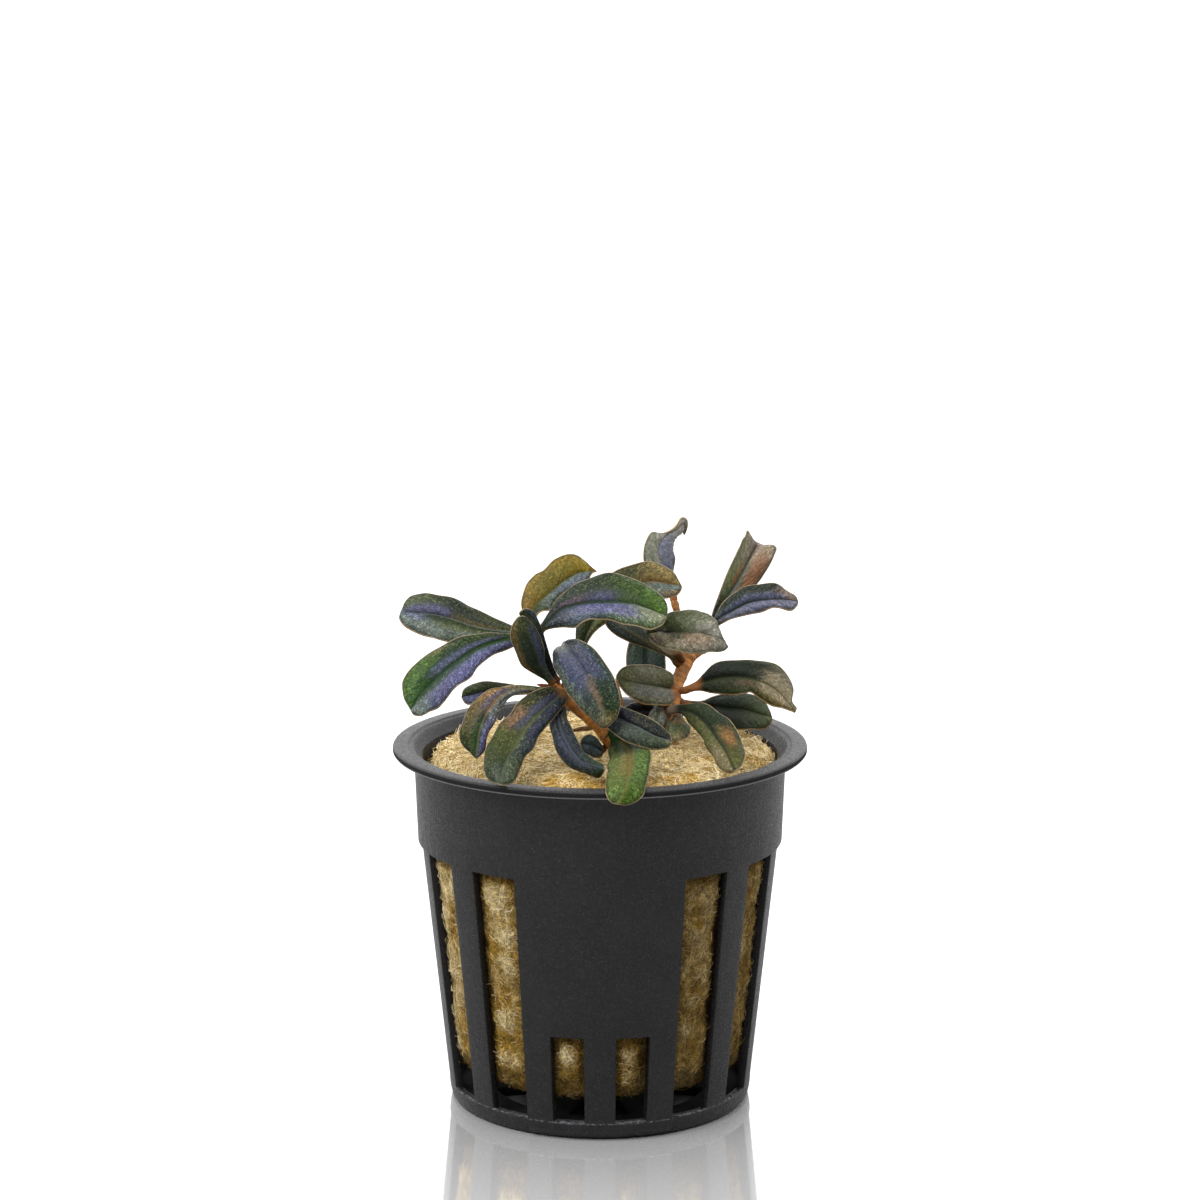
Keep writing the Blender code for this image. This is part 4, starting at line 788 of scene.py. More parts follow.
@node_group("Leaf finish", {
    "Color": GREY, "Along": 0.0, "Streak": 0.5, "Fine": 0.5, "Broad": 0.5, "Rib Colour": GREY,
    "Rib Width": 0.3, "Rib Amount": 0.5, "Edge Colour": GREY, "Fleck Colour": GREY, "Fleck Amount": 0.5,
    "Stalk Colour": GREY, "Stalk Reach": 0.07, "Under Colour": GREY, "Vein Spacing": 1.5,
    "Roughness": 0.38, "Seed": 0.0}, {"Color": "Color", "Roughness": "Float", "Height": "Float"})
def leaf_finish(web, inlet):
    """Side veins, grain, painted shade toward the root, flecks, rib, stalk, underside and margin, with gloss
    and relief.
    """
    streak, fine, broad = inlet["Streak"], inlet["Fine"], inlet["Broad"]
    under = web.split(web.attribute("blade", "Vector"))[2]
    run, beside, margin, out, slant = leaf_place(web)

    # Side veins, the grain of the skin, and painted shade toward the root
    beat = web.math("FRACT", slant / inlet["Vein Spacing"] + broad * 1.4)
    vein = web.step(abs(beat - 0.5), 0.5, 0.36)
    colour = web.blend(vein * 0.1, inlet["Color"], NEAR_BLACK)
    grain_and_root_shade = web.step(streak, 0.3, 0.7, 0.86, 1.14) * web.step(fine, 0.3, 0.7, 0.75, 1.25)
    flat = web.xyz(run, beside, inlet["Seed"])
    speck = web.cells(flat, 4.6)
    lift = web.split(speck["Color"])[1] ** 3.0 * web.step(margin, 3.0, 0.6, 0.6, 1.3)
    lift = lift * (inlet["Fleck Amount"] * 0.7 + 0.4)
    # Painted shade: darker toward the root.
    grain_and_root_shade = grain_and_root_shade * (lift + 0.78) * web.step(inlet["Along"], 0.02, 0.34, 0.62, 1.0)
    colour = web.lit(colour, grain_and_root_shade)

    # Pale round flecks, thicker near the margin and in some places than in others
    flecks = web.cells(flat, 3.5)
    kept = web.split(flecks["Color"])[0] + (broad - 0.5) * 1.2 + web.step(margin, 2.4, 0.4, -0.26, 0.24)
    fleck = web.step(flecks["Distance"], 0.18, 0.4, 1.0, 0.0) * web.step(kept, 0.26, 0.42)
    fleck = fleck * web.step(out, 0.12, 0.5)
    pale = web.blend(0.45, web.blend(1.0, colour, (2.4, 2.4, 2.4, 1.0), "MULTIPLY"), inlet["Fleck Colour"])
    colour = web.blend(fleck * inlet["Fleck Amount"], colour, pale)

    # Rib, stalk and underside
    taper = inlet["Rib Width"] * web.step(inlet["Along"], 0.1, 1.0, 1.2, 0.45)
    rib = web.step((out + (fine - 0.5) * 0.16) / taper, 0.35, 0.85, 1.0, 0.0)
    colour = web.blend(rib * inlet["Rib Amount"], colour, inlet["Rib Colour"])
    stalk = web.step(inlet["Along"] - inlet["Stalk Reach"], -0.03, 0.05, 1.0, 0.0)
    colour = web.blend(stalk, colour, inlet["Stalk Colour"])
    pale = web.blend(web.step(streak, 0.3, 0.7), inlet["Under Colour"], colour)
    colour = web.blend(under * (0.8 - stalk * 0.6), colour, web.blend(0.35, pale, inlet["Under Colour"]))

    # A dark line inside the margin, and the thin pale margin
    blade = 1.0 - stalk
    colour = web.blend(web.step(margin, 0.16, 0.55, 0.55, 0.0) * blade, colour, NEAR_BLACK)
    edge = web.step(margin - (0.12 + (fine - 0.5) * 0.12), -0.03, 0.04, 0.85, 0.0)
    colour = web.blend(edge * blade, colour, inlet["Edge Colour"])

    gloss = inlet["Roughness"] + (broad - 0.5) * 0.3 + (streak - 0.5) * 0.3 + under * 0.14
    height = fleck * 0.03 + speck["Distance"] * 0.045 + streak * 0.03
    return {"Color": colour, "Roughness": gloss, "Height": height}


@node_group("Mottling", {"Vector": "Vector", "First": "Color", "Second": "Color", "Coarse Scale": 0.4,
                         "Fine Scale": 3.0, "Bias": 0.5, "Contrast": 0.2},
            {"Color": "Color", "Mask": "Float", "Height": "Float"})
def mottling(web, inlet):
    """Two colours mixed by noise at two scales, in millimetres, with a grain to match."""
    spot = web.scaled(inlet["Vector"], 1 / MM)
    coarse = web.noise(spot, inlet["Coarse Scale"], 3.0, 0.55)
    fine = web.noise(spot, inlet["Fine Scale"], 4.0, 0.6)
    level = coarse * 0.65 + fine * 0.35 - inlet["Bias"]
    mask = web.step(level, inlet["Contrast"] * -1.0, inlet["Contrast"])
    return {"Color": web.blend(mask, inlet["First"], inlet["Second"]), "Mask": mask, "Height": fine}


@node_group("Fibre pattern", {"Vector": "Vector"}, {"Fibre": "Float"})
def fibre_pattern(web, inlet):
    """Thin curling lines, where wandering noise passes one level after another."""
    spot = web.scaled(inlet["Vector"], 1 / MM)
    fibre = 0.0
    for scale, levels, shift in ((0.55, 16.0, 0.0), (0.8, 12.0, 31.0), (1.1, 9.0, 67.0)):
        wander = web.noise(web.arrow("ADD", spot, (shift, shift, shift)), scale, 2.0, 0.45)
        line = web.step(abs(web.math("FRACT", wander * levels) - 0.5), 0.3, 0.06)
        fibre = web.math("MAXIMUM", fibre, line)
    return {"Fibre": fibre}


def new_material(name):
    """A material with its web and its Object coordinates."""
    material = bpy.data.materials.new(name)
    material.use_nodes = True
    web = Web(material.node_tree)
    return material, web, web.put("ShaderNodeTexCoord", {})["Object"]


def mottled(web, spot, first, second, *values):
    """The mottling with its scales, bias and contrast."""
    inlets = dict(zip(("Coarse Scale", "Fine Scale", "Bias", "Contrast"), values))
    return web.group(mottling, {"Vector": spot, "First": first, "Second": second, **inlets})


def finish(material, web, colour, rough, height, sheen):
    """Feeds a material's shader. The height is that of its relief, in millimetres."""
    bump = web.put("ShaderNodeBump", {"Distance": MM, "Strength": 1.0, "Height": height})
    web.feed(material.node_tree.nodes["Principled BSDF"], {
        "Base Color": colour, "Roughness": rough, "Specular IOR Level": sheen, "Normal": bump["Normal"]})
    return material


# Meshes


def linked(name, data):
    """An object in the scene."""
    thing = bpy.data.objects.new(name, data)
    bpy.context.scene.collection.objects.link(thing)
    return thing


def settled(host, name, material):
    """Turns an object with its modifiers into a plain mesh object and takes the first one away."""
    depsgraph = bpy.context.evaluated_depsgraph_get()
    evaluated = host.evaluated_get(depsgraph)
    mesh = bpy.data.meshes.new_from_object(evaluated, preserve_all_data_layers=True, depsgraph=depsgraph)
    mesh.name = name
    piece = linked(name, mesh)
    bpy.data.objects.remove(host, do_unlink=True)
    mesh.materials.clear()
    mesh.materials.append(material)
    return piece


def new_piece(name, points, faces, material=None, edges=()):
    """A mesh object from points in millimetres."""
    mesh = bpy.data.meshes.new(name)
    mesh.from_pydata((np.asarray(points, dtype=float) * MM).tolist(), edges, faces)
    mesh.update()
    if material:
        mesh.materials.append(material)
    return linked(name, mesh)


def reworked(mesh, work, source=None):
    """Puts a mesh, or another one in its place, through some work as a bmesh."""
    form = bmesh.new()
    form.from_mesh(source or mesh)
    work(form)
    form.to_mesh(mesh)
    form.free()
    mesh.update()


def outward(mesh):
    """Faces of a closed mesh point out of it."""
    def work(form):
        bmesh.ops.recalc_face_normals(form, faces=form.faces)
        if form.calc_volume(signed=True) < 0:
            bmesh.ops.reverse_faces(form, faces=form.faces)
    reworked(mesh, work)


def dress(piece, node):
    """The piece rides on the part's one body and stands for the node."""
    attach(piece, "root")
    if node:
        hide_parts(node)


def run_along(points):
    """How far along a line each of its points lies."""
    return np.concatenate(((0.0,), np.cumsum(np.linalg.norm(np.diff(points, axis=0), axis=1))))


def columns_at(at, run, points):
    """The points of a line at some places along it."""
    return np.stack([np.interp(at, run, column) for column in points.T], axis=-1)


def unit(vectors):
    return vectors / np.maximum(np.linalg.norm(vectors, axis=-1, keepdims=True), 1e-9)


def clipped(values):
    return np.clip(values, 0, 1)


def place(across, down, y):
    """The point at depth y that is seen at that place of the picture, in millimetres."""
    slope = (down - PICTURE_MIDDLE) / SIGHT_SCALE
    run = y + EYE_BACK
    drop = run * (slope * cos(EYE_DIP) + sin(EYE_DIP)) / (slope * sin(EYE_DIP) - cos(EYE_DIP))
    distance = run * cos(EYE_DIP) - drop * sin(EYE_DIP)
    return np.array(((across - PICTURE_MIDDLE) / SIGHT_SCALE * distance, y, EYE_HEIGHT + drop))


def smooth(points, shares):
    """Points on a smooth curve through the given points, at shares of its length in the picture."""
    knots = np.array(points, dtype=float)
    knots = np.vstack((2 * knots[0] - knots[1], knots, 2 * knots[-1] - knots[-2]))
    fine = []
    for a, b, c, d in zip(knots, knots[1:], knots[2:], knots[3:]):
        for t in np.arange(CURVE_STEPS) / CURVE_STEPS:
            fine.append(0.5 * (2 * b + (c - a) * t + (2 * a - 5 * b + 4 * c - d) * t ** 2
                               + (3 * b - a - 3 * c + d) * t ** 3))
    fine = np.array(fine + [knots[-2]])
    run = run_along(fine[:, :2])
    return columns_at(np.array(shares) * run[-1], run, fine)


def leaf_rows(form, shares):
    """The middle surface of a leaf: a row of points from edge to edge for each share of its length."""
    rib = np.reshape(form["rib"], (-1, 3))
    ahead = unit(rib[1, :2] - rib[0, :2])
    half = STALK_HALF_WIDTH * PIXELS_PER_MM
    edges = []
    for side, way in (("left", 1), ("right", -1)):
        start = rib[0, :2] + way * half * ahead[::-1] * (1, -1)
        edges.append(smooth(np.vstack((start, np.reshape(form[side], (-1, 2)), rib[-1, :2])), shares))
    rows = []
    for k, (u, v, y) in enumerate(smooth(rib, shares)):
        row = []
        for s in ACROSS:
            side = int(s >= 0)
            du, dv = abs(s) * (edges[side][k] - (u, v))
            row.append(place(u + du, v + dv, y + form["lean"][side] * np.hypot(du, dv) / PIXELS_PER_MM))
        rows.append(row)
    return np.array(rows)


def stem_line(route, steps=None):
    """A stem's centre line and its radii, in millimetres."""
    line = smooth(route, np.linspace(0, 1, steps or 2 * len(route) - 1))
    return np.array([place(*point[:3]) for point in line]), line[:, 3]


def steadied(directions):
    """Directions along a leaf, each averaged with its neighbours and of length 1."""
    padded = np.concatenate((directions[:1], directions, directions[-1:]))
    return unit(padded[:-2] + 2 * padded[1:-1] + padded[2:])


HALF_COLUMNS = (0.0, 0.03, 0.07, 0.12, 0.19, 0.28, 0.38, 0.49, 0.6, 0.7, 0.79, 0.87, 0.93, 0.97, 0.992, 1.0)
ACROSS = np.array([-s for s in reversed(HALF_COLUMNS[1:])] + list(HALF_COLUMNS))


def leaf_lift(name, form, settings, shares, run, wide):
    """How far the middle surface lies off its flat form, and the rib's groove or ridge below its skin."""
    s = ACROSS
    beside = wide * s
    side = (s > 0).astype(int)
    shares, run = shares[:, None], run[:, None]
    rng = np.random.default_rng(sum(ord(c) for c in name))
    blade = 1 - clipped(1 - shares / STALK_SHARE)
    full = clipped(wide / 1.5)
    swell = HALF_BLADE_SWELL * wide * np.sin(pi * np.abs(s)) * blade
    wave = np.zeros_like(wide)
    for length, size in RUFFLES:
        for half in (0, 1):
            phase = rng.uniform(0, 2 * pi)
            wave += (side == half) * size * np.sin(2 * pi * run / length + phase)
    wave *= settings.ruffle / MM * np.abs(s) ** 4 * full * blade
    wave *= np.clip((1 - shares) / 0.12, 0.25, 1)
    slant = run - VEIN_SLANT * np.abs(beside)
    folds = np.cos(2 * pi * slant * MM / settings.vein_spacing + rng.uniform(0, 2 * pi))
    folds *= settings.vein_height / MM * clipped(np.abs(beside) / 0.8) * full * blade
    folds *= clipped((1 - np.abs(s)) / 0.1)
    if "wrinkle" in form:
        for length, size in WRINKLES:
            phase, turn = rng.uniform(0, 2 * pi, 2)
            folds += form["wrinkle"] * size * full * blade * np.sin(2 * pi * run / length + phase) \
                * np.cos(2 * pi * beside / (1.4 * length) + turn)
    rib = np.exp(-(beside / (0.26 - 0.1 * shares)) ** 2) * full * blade
    rib *= clipped((1 - shares) / 0.15)
    return swell + wave + folds, rib * (RIDGE_HEIGHT if "ridge" in form else -GROOVE_DEPTH)


def leaf_mesh(name, form, settings, anchor, material):
    """A leaf's skin, closed all round, with the attributes that the leaf material reads."""
    thickness = settings.thickness / MM
    count = settings.stations
    shares = np.array([1 - (1 - k / count) ** TIP_CROWDING for k in range(count)] + [1.0])
    rows = leaf_rows(form, shares)
    normals = unit(np.cross(np.gradient(rows, axis=1), np.gradient(rows, axis=0)))
    normals[-1] = normals[-2]
    for _ in range(3):
        normals = steadied(normals)
    middle = len(ACROSS) // 2
    run = run_along(rows[:, middle])
    half_widths = np.linalg.norm(rows[:, [0, -1]] - rows[:, middle][:, None], axis=2)
    wide = half_widths[:, (ACROSS > 0).astype(int)]
    lift, groove = leaf_lift(name, form, settings, shares, run, wide)
    centre = rows + lift[:, :, None] * normals

    # Half the thickness, round at the margin and at the stalk
    stalk = clipped(1 - shares / STALK_SHARE)[:, None]
    body = thickness + stalk * (STALK_THICKNESS - thickness)
    flat = np.sqrt(clipped(1 - np.abs(ACROSS) ** 5))
    half = body / 2 * ((1 - stalk) * flat + stalk * np.sqrt(clipped(1 - ACROSS ** 2)))
    half = np.minimum(half, 0.8 * wide + 0.02)
    half[:, [0, -1]] = 0
    closeness = clipped((1 - np.abs(ACROSS)) / 0.03)
    top = centre + (half + groove)[:, :, None] * normals
    low = centre - (half - 1.1 * groove * closeness)[:, :, None] * normals

    # Rings round the leaf, left margin to right over the top and back underneath
    columns = len(ACROSS)
    order = list(range(columns)) + list(range(columns - 2, 0, -1))
    is_low = np.array([0] * columns + [1] * (columns - 2))
    rings = np.where(is_low[None, :, None], low[:, order], top[:, order])[:-1]
    lengths = np.stack(np.broadcast_arrays(run[:, None], wide * ACROSS, wide * (1 - np.abs(ACROSS))), axis=2)
    lengths = lengths[:-1, order]
    flags = np.stack(np.broadcast_arrays(shares[:-1, None], ACROSS[order], is_low), axis=2)

    # The stalk's sheath runs back to the stem that carries the leaf
    start, root = rings[0], rings[0].mean(axis=0)
    back = np.array(anchor) - root
    sheath = [[], [], []]
    for share in (1.0, 2 / 3, 1 / 3):
        narrowing = 1 + 0.25 * share * (1 - share) - 0.35 * share ** 2
        sheath[0].append(root + back * share + (start - root) * narrowing)
        sheath[1].append(flags[0])
        sheath[2].append(lengths[0] - (np.linalg.norm(back) * share, 0, 0))
    rings, flags, lengths = (np.concatenate((first, rest)) for first, rest in
                             zip(sheath, (rings, flags, lengths)))
    ring, total = len(order), len(rings)
    points = np.concatenate((rings.reshape(-1, 3), (rows[-1, middle], rings[0].mean(axis=0))))
    tip, base = total * ring, total * ring + 1
    last = tip - ring
    faces = []
    for low in range(0, last, ring):
        for k in range(ring):
            a, b = low + k, low + (k + 1) % ring
            faces.append((a, b, b + ring, a + ring))
    for k in range(ring):
        following = (k + 1) % ring
        faces += [(last + k, last + following, tip), (following, k, base)]
    piece = new_piece(name + "_blade", points, faces, material)
    mesh = piece.data
    for label, values, ends in (("blade", flags, ((1, 0, 0), (0, 0, 0))),
                                ("blade_mm", lengths, ((run[-1], 0, 0), (0, 0, 0.4)))):
        layer = mesh.attributes.new(label, "FLOAT_VECTOR", "POINT")
        data = np.concatenate((values.reshape(-1, 3), ends)).astype(np.float32)
        layer.data.foreach_set("vector", data.ravel())
    outward(mesh)
    mesh.shade_smooth()
    return piece


def leaf_material(name, form, settings, order):
    """The leaf skin with this leaf's own tones."""
    material, web, _ = new_material(name.replace("_", " ") + " skin")
    tones = form["tones"].split()
    values = {f"{at} {half}": tone(tones[3 * i + k]) for i, half in enumerate(("Left", "Right"))
              for k, at in enumerate(("Root", "Middle", "Tip"))}
    ground = web.group(leaf_ground, {**values, "Seed": 3.7 * order})
    colour = ground["Color"]
    for words, *values in form.get("zones", ()):
        inlets = {key: ground[key] for key in ("Along", "Across", "Streak", "Fine")}
        inlets.update(zip(("From", "To", "Left", "Right", "Amount"), values))
        colour = web.group(leaf_zone, {**inlets, "Color": colour, "Zone": tone(words)})["Color"]
    rib_tone, rib_width, rib_amount = form["rib_look"]
    stalk_tone, stalk_reach = form.get("stalk", ("rust+moss", 0.05))
    skin = web.group(leaf_finish, {
        **{key: ground[key] for key in ("Along", "Streak", "Fine", "Broad")}, "Color": colour,
        "Rib Colour": tone(rib_tone), "Rib Width": rib_width, "Rib Amount": rib_amount,
        "Stalk Colour": tone(stalk_tone), "Stalk Reach": stalk_reach,
        "Edge Colour": tone(form["edge"] + "+tan+mist", 0.95), "Fleck Amount": form["flecks"],
        "Fleck Colour": tone("sage+tan+fresh", 0.75), "Under Colour": tone("sage+mist+bronze", 0.7),
        "Vein Spacing": settings.vein_spacing / MM, "Roughness": settings.roughness, "Seed": 3.7 * order})
    return finish(material, web, skin["Color"], skin["Roughness"], skin["Height"], form.get("sheen", 0.13))


def add_leaves(forms, settings, seed):
    """Every leaf of a rosette, each closed on to the stem that is nearest to its root."""
    stems = np.concatenate([stem_line(route, 60)[0] for route in STEMS.values()])
    for order, (name, form) in enumerate(forms.items()):
        root = place(*form["rib"][:3])
        anchor = stems[np.argmin(np.linalg.norm(stems - root, axis=1))]
        material = leaf_material(name, form, settings, seed + order)
        dress(leaf_mesh(name, form, settings, anchor, material), name)


# The pot


def between(low, high, share):
    return low + share * (high - low)


def strut_radius(height):
    """Outer radius of the pot's wall between its slots."""
    return between(STRUT_RADIUS_LOW, STRUT_RADIUS_HIGH, height / COLLAR_EDGE)


def turned(angle, middle):
    """How far an angle is turned from a middle one, all in degrees."""
    return abs((angle - middle + 180) % 360 - 180)


def within(angle, middle, half):
    return turned(angle, middle) < half - 1e-6


def slot_sectors():
    """Each slot as (middle angle, half its angle, top)."""
    first = (1 - LONG_SLOTS_PER_SIDE) / 2
    sectors = [(side + LONG_SLOT_PITCH * (first + k), LONG_SLOT_ANGLE / 2, COLLAR_EDGE)
               for side in (90, 270) for k in range(LONG_SLOTS_PER_SIDE)]
    return sectors + [(panel + way * SHORT_SLOT_PLACE, SHORT_SLOT_ANGLE / 2, SHORT_SLOT_TOP)
                      for panel in PANELS for way in (-1, 1)]


def wall_columns(facet):
    """Angles of the wall's columns, each with whether it is on a flat panel, and the drains' edges.

    A panel's edge is doubled. A drain's edge moves to a near slot's or panel's edge."""
    edges = {round((panel + way * PANEL_HALF_ANGLE) % 360, 4) for panel in PANELS for way in (-1, 1)}
    breaks = edges | {round((m + way * half) % 360, 4) for m, half, _ in slot_sectors() for way in (-1, 1)}
    drains = []
    for k in range(DRAIN_COUNT):
        for way in (-1, 1):
            edge = (k * 360 / DRAIN_COUNT + way * DRAIN_ANGLE / 2) % 360
            near = min(breaks, key=lambda b: turned(b, edge))
            drains.append(near if turned(near, edge) <= DRAIN_SNAP else round(edge, 4))
    angles = sorted(breaks | set(drains))
    columns = []
    for angle, following in zip(angles, angles[1:] + [angles[0] + 360]):
        pieces = max(1, int(np.ceil((following - angle) / facet)))
        after = any(within(angle + 0.01, panel, PANEL_HALF_ANGLE) for panel in PANELS)
        if angle in edges:
            columns.append((angle, not after))
        columns += [(angle + (following - angle) * i / pieces, after) for i in range(pieces)]
    return columns, drains


def pot_mesh(settings):
    """The moulding as rings of cells round the axis, with the slots' and drains' cells left open."""
    columns, drains = wall_columns(settings.facet * 180 / pi)
    count = len(columns)
    levels = [(height, False) for height in WALL_LEVELS] + [(height, True) for height in COLLAR_LEVELS]
    rim_scale = settings.rim_radius / MM / max(radius for radius, _ in RIM_SECTION)

    def collar_share(height):
        return (height - COLLAR_EDGE) / (WALL_TOP - COLLAR_EDGE)

    def outer(height, above, panel):
        if above:
            return between(COLLAR_RADIUS_LOW, COLLAR_RADIUS_HIGH, collar_share(height))
        if panel:
            share = (height - FLOOR) / (COLLAR_EDGE - FLOOR)
            return between(strut_radius(FLOOR) + COLLAR_PROUD, COLLAR_RADIUS_LOW, share)
        return strut_radius(height)

    def inner(height):
        if height <= COLLAR_EDGE:
            return strut_radius(height) - WALL
        return between(STRUT_RADIUS_HIGH, COLLAR_RADIUS_HIGH, collar_share(height)) - WALL

    def ring_of(radius, height):
        return [(radius, height)] * count

    chain = [ring_of(radius, 0.0) for radius in (DRAIN_INNER_RADIUS, DRAIN_OUTER_RADIUS, FOOT_RADIUS - 0.5,
                                                 FOOT_RADIUS)]
    chain.append(ring_of((FOOT_RADIUS + strut_radius(FLOOR) + COLLAR_PROUD) / 2, FOOT_BEVEL))
    first_out = len(chain)
    chain += [[(outer(height, above, panel), height) for _, panel in columns] for height, above in levels]
    chain += [ring_of(radius * rim_scale, height) for radius, height in RIM_SECTION]
    first_in = len(chain)
    chain += [ring_of(inner(height), height) for height, _ in reversed(levels)]
    chain += [ring_of(radius, FLOOR) for radius in (DRAIN_OUTER_RADIUS, DRAIN_INNER_RADIUS)]
    top_ring, last = len(levels) - 1, len(chain) - 1

    points = []
    for ring in chain:
        for (angle, _), (radius, height) in zip(columns, ring):
            way = radians(angle - 90)
            points.append((radius * cos(way), radius * sin(way), height))
    low_centre, high_centre = len(points), len(points) + 1
    points += [(0, 0, 0), (0, 0, FLOOR)]

    # Which cells of the wall and the floor are open
    slots = slot_sectors()
    open_wall, open_floor = set(), set()
    for k in range(count):
        step = (columns[(k + 1) % count][0] - columns[k][0]) % 360
        if step < 1e-6:
            continue
        angle = (columns[k][0] + step / 2) % 360
        for level in range(top_ring):
            height = (levels[level][0] + levels[level + 1][0]) / 2
            if any(within(angle, m, half) and SLOT_LOW < height < top for m, half, top in slots):
                open_wall.add((level, k))
        for low, high in zip(drains[::2], drains[1::2]):
            if 0 < (angle - low) % 360 < (high - low) % 360:
                open_floor.add(k)

    def at(ring, k):
        return ring * count + k % count

    def cell(ring, other, k):
        return at(ring, k), at(ring, k + 1), at(other, k + 1), at(other, k)

    faces = []
    for ring in range(last):
        level = ring - first_out if ring < first_out + top_ring else first_in + top_ring - 1 - ring
        for k in range(count):
            if not ((level, k) in open_wall or ring in (0, last - 1) and k in open_floor):
                faces.append(cell(ring, ring + 1, k))
    for k in range(count):
        faces.append((at(0, k + 1), at(0, k), low_centre))
        faces.append((at(last, k), at(last, k + 1), high_centre))

    # The sides of the openings
    for level, k in open_wall:
        low, high = ((first_out + n, first_in + top_ring - n) for n in (level, level + 1))
        for column, beside in ((k, (k - 1) % count), (k + 1, (k + 1) % count)):
            if (level, beside) not in open_wall:
                faces.append(tuple(at(ring, column) for ring in (low[0], high[0], high[1], low[1])))
        for edge, other in ((low, level - 1), (high, level + 1)):
            if (other, k) not in open_wall:
                faces.append(cell(*edge, k))
    for k in open_floor:
        faces += [cell(0, last, k), cell(1, last - 1, k)]
        for column, beside in ((k, (k - 1) % count), (k + 1, (k + 1) % count)):
            if beside not in open_floor:
                faces.append(tuple(at(ring, column) for ring in (0, 1, last - 1, last)))
    return points, faces


def pot_material(settings):
    """Black moulded plastic: fine grain, faint scuffs and turning marks on the flange with a painted sheen,
    painted highlights on the sills and the lip, and painted shade on the flange's edge.
    """
    material, web, spot = new_material("black moulded plastic")
    pale = (*(min(1.0, 1.8 * c + 0.002) for c in settings.plastic), 1.0)
    mottle = mottled(web, spot, (*settings.plastic, 1.0), pale, 0.22, 5.0, 0.56, 0.16)
    x, y, z = web.split(spot)
    reach = web.length(web.xyz(x, y, 0.0))
    rings = web.noise(web.xyz(reach * (6.5 / MM), 0.0, 0.0), 1.0, 3.0, 0.7)
    on_flange = web.step(z, 43.7 * MM, 43.9 * MM)
    fine = web.scaled(spot, 1 / MM)
    grain = web.noise(fine, 9.0, 3.0, 0.65)
    flow = web.noise(web.arrow("MULTIPLY", spot, (1000, 1000, 180)), 1.6, 3.0, 0.6)
    ragged = web.step(web.noise(fine, 2.4, 4.0, 0.7), 0.42, 0.62)
    # A pale ragged line along the slots' sills: a moulding flash, lightened as a painted highlight.
    sill_flash_and_highlight = web.band(z, 2.02, 2.12, 2.2, 2.26) * (ragged * web.step(reach, 18.05 * MM, 18.15 * MM))
    # The flange's turning rings are lightened: scuffs, and a painted sheen on the flange's top.
    colour = web.blend(web.step(rings, 0.42, 0.66) * (on_flange * 0.3), mottle["Color"], SCUFF_AND_SHEEN)
    colour = web.blend(sill_flash_and_highlight * 0.75, colour, FLASH_AND_HIGHLIGHT)
    speck = web.split(web.cells(fine, 4.4)["Color"])[0]
    colour = web.blend(web.step(speck, 0.55, 1.0, 0.0, 0.35), colour, PLASTIC_SPECK)
    rough = settings.roughness + (grain - 0.5) * 0.25 + (speck - 0.5) * -0.16 + (flow - 0.5) * 0.2

    # The flange's edge: a dark line of painted shade over a pale lower lip, a painted highlight
    line = web.band(z, 43.28, 43.34, 43.7, 43.8) * web.step(reach, 24.7 * MM, 24.85 * MM)
    colour = web.blend(line * 0.9, colour, (0.001, 0.001, 0.001, 1.0))
    rough = web.math("MAXIMUM", rough, line * 0.9)
    painted_lip_highlight = web.step(reach, 24.55 * MM, 24.75 * MM) * web.band(z, 43.05, 43.1, 43.22, 43.28)
    colour = web.blend(painted_lip_highlight * 0.8, colour, LIP_HIGHLIGHT)

    # Little light gets inside the pot under the plug
    inside = web.step(reach, 17.6 * MM, 17.2 * MM) * web.step(z, 6 * MM, 5 * MM)
    colour = web.blend(inside * 0.85, colour, (0.0008, 0.0008, 0.0008, 1.0))
    rough = web.math("MAXIMUM", rough, inside)
    height = grain * 0.1 + flow * 0.03 + rings * on_flange * 0.05 + sill_flash_and_highlight * 0.08
    return finish(material, web, colour, rough, height, 0.35)


# Stone wool


def wool_profile():
    """The plug's outline as evenly spaced (radius, height) from the axis underneath to the axis on top."""
    low, high, out = strut_radius(WOOL_LOW) - WOOL_INSET, STRUT_RADIUS_HIGH - WOOL_INSET, WOOL_SHOULDER_RADIUS
    corners = np.array([
        (0.0, WOOL_LOW), (low - 1.0, WOOL_LOW), (low - 0.25, WOOL_LOW + 0.2), (low, WOOL_LOW + 0.8),
        (high, COLLAR_EDGE), (out, COLLAR_EDGE + WOOL_SHOULDER_RISE), (out, WOOL_TOP - 2.2),
        (out - 0.5, WOOL_TOP - 0.9), (out - 1.6, WOOL_TOP - 0.25), (out - 6, WOOL_TOP), (0.0, WOOL_TOP)])
    run = run_along(corners)
    return columns_at(np.linspace(0, run[-1], int(run[-1] / WOOL_RING_SPACING)), run, corners)


def clamped(value):
    return min(1.0, max(0.0, value))


def lump(point, scale, seed):
    return noise.noise(Vector(point) * scale + Vector((seed, 2 * seed, 3 * seed)))


def slot_room(way, height, slots):
    """1 well inside a slot's opening and 0 outside it, in between near the slot's edges."""
    angle = (np.degrees(way) + 90) % 360
    room = max(clamped((half - turned(angle, middle)) / 3.2) * clamped((top - height) / 1.5)
               for middle, half, top in slots)
    return room * clamped((height - WOOL_LOW - 1) / 2)


def mound(x, y):
    """How much of the mound in front of the right stem's foot stands at a place, from 0 to 1."""
    share = 1.0
    for at, middle, reach in zip((x, y), MOUND_PLACE, MOUND_REACH):
        near = max(0.0, 1 - abs(at - middle) / reach)
        share *= near * near * (3 - 2 * near)
    return share


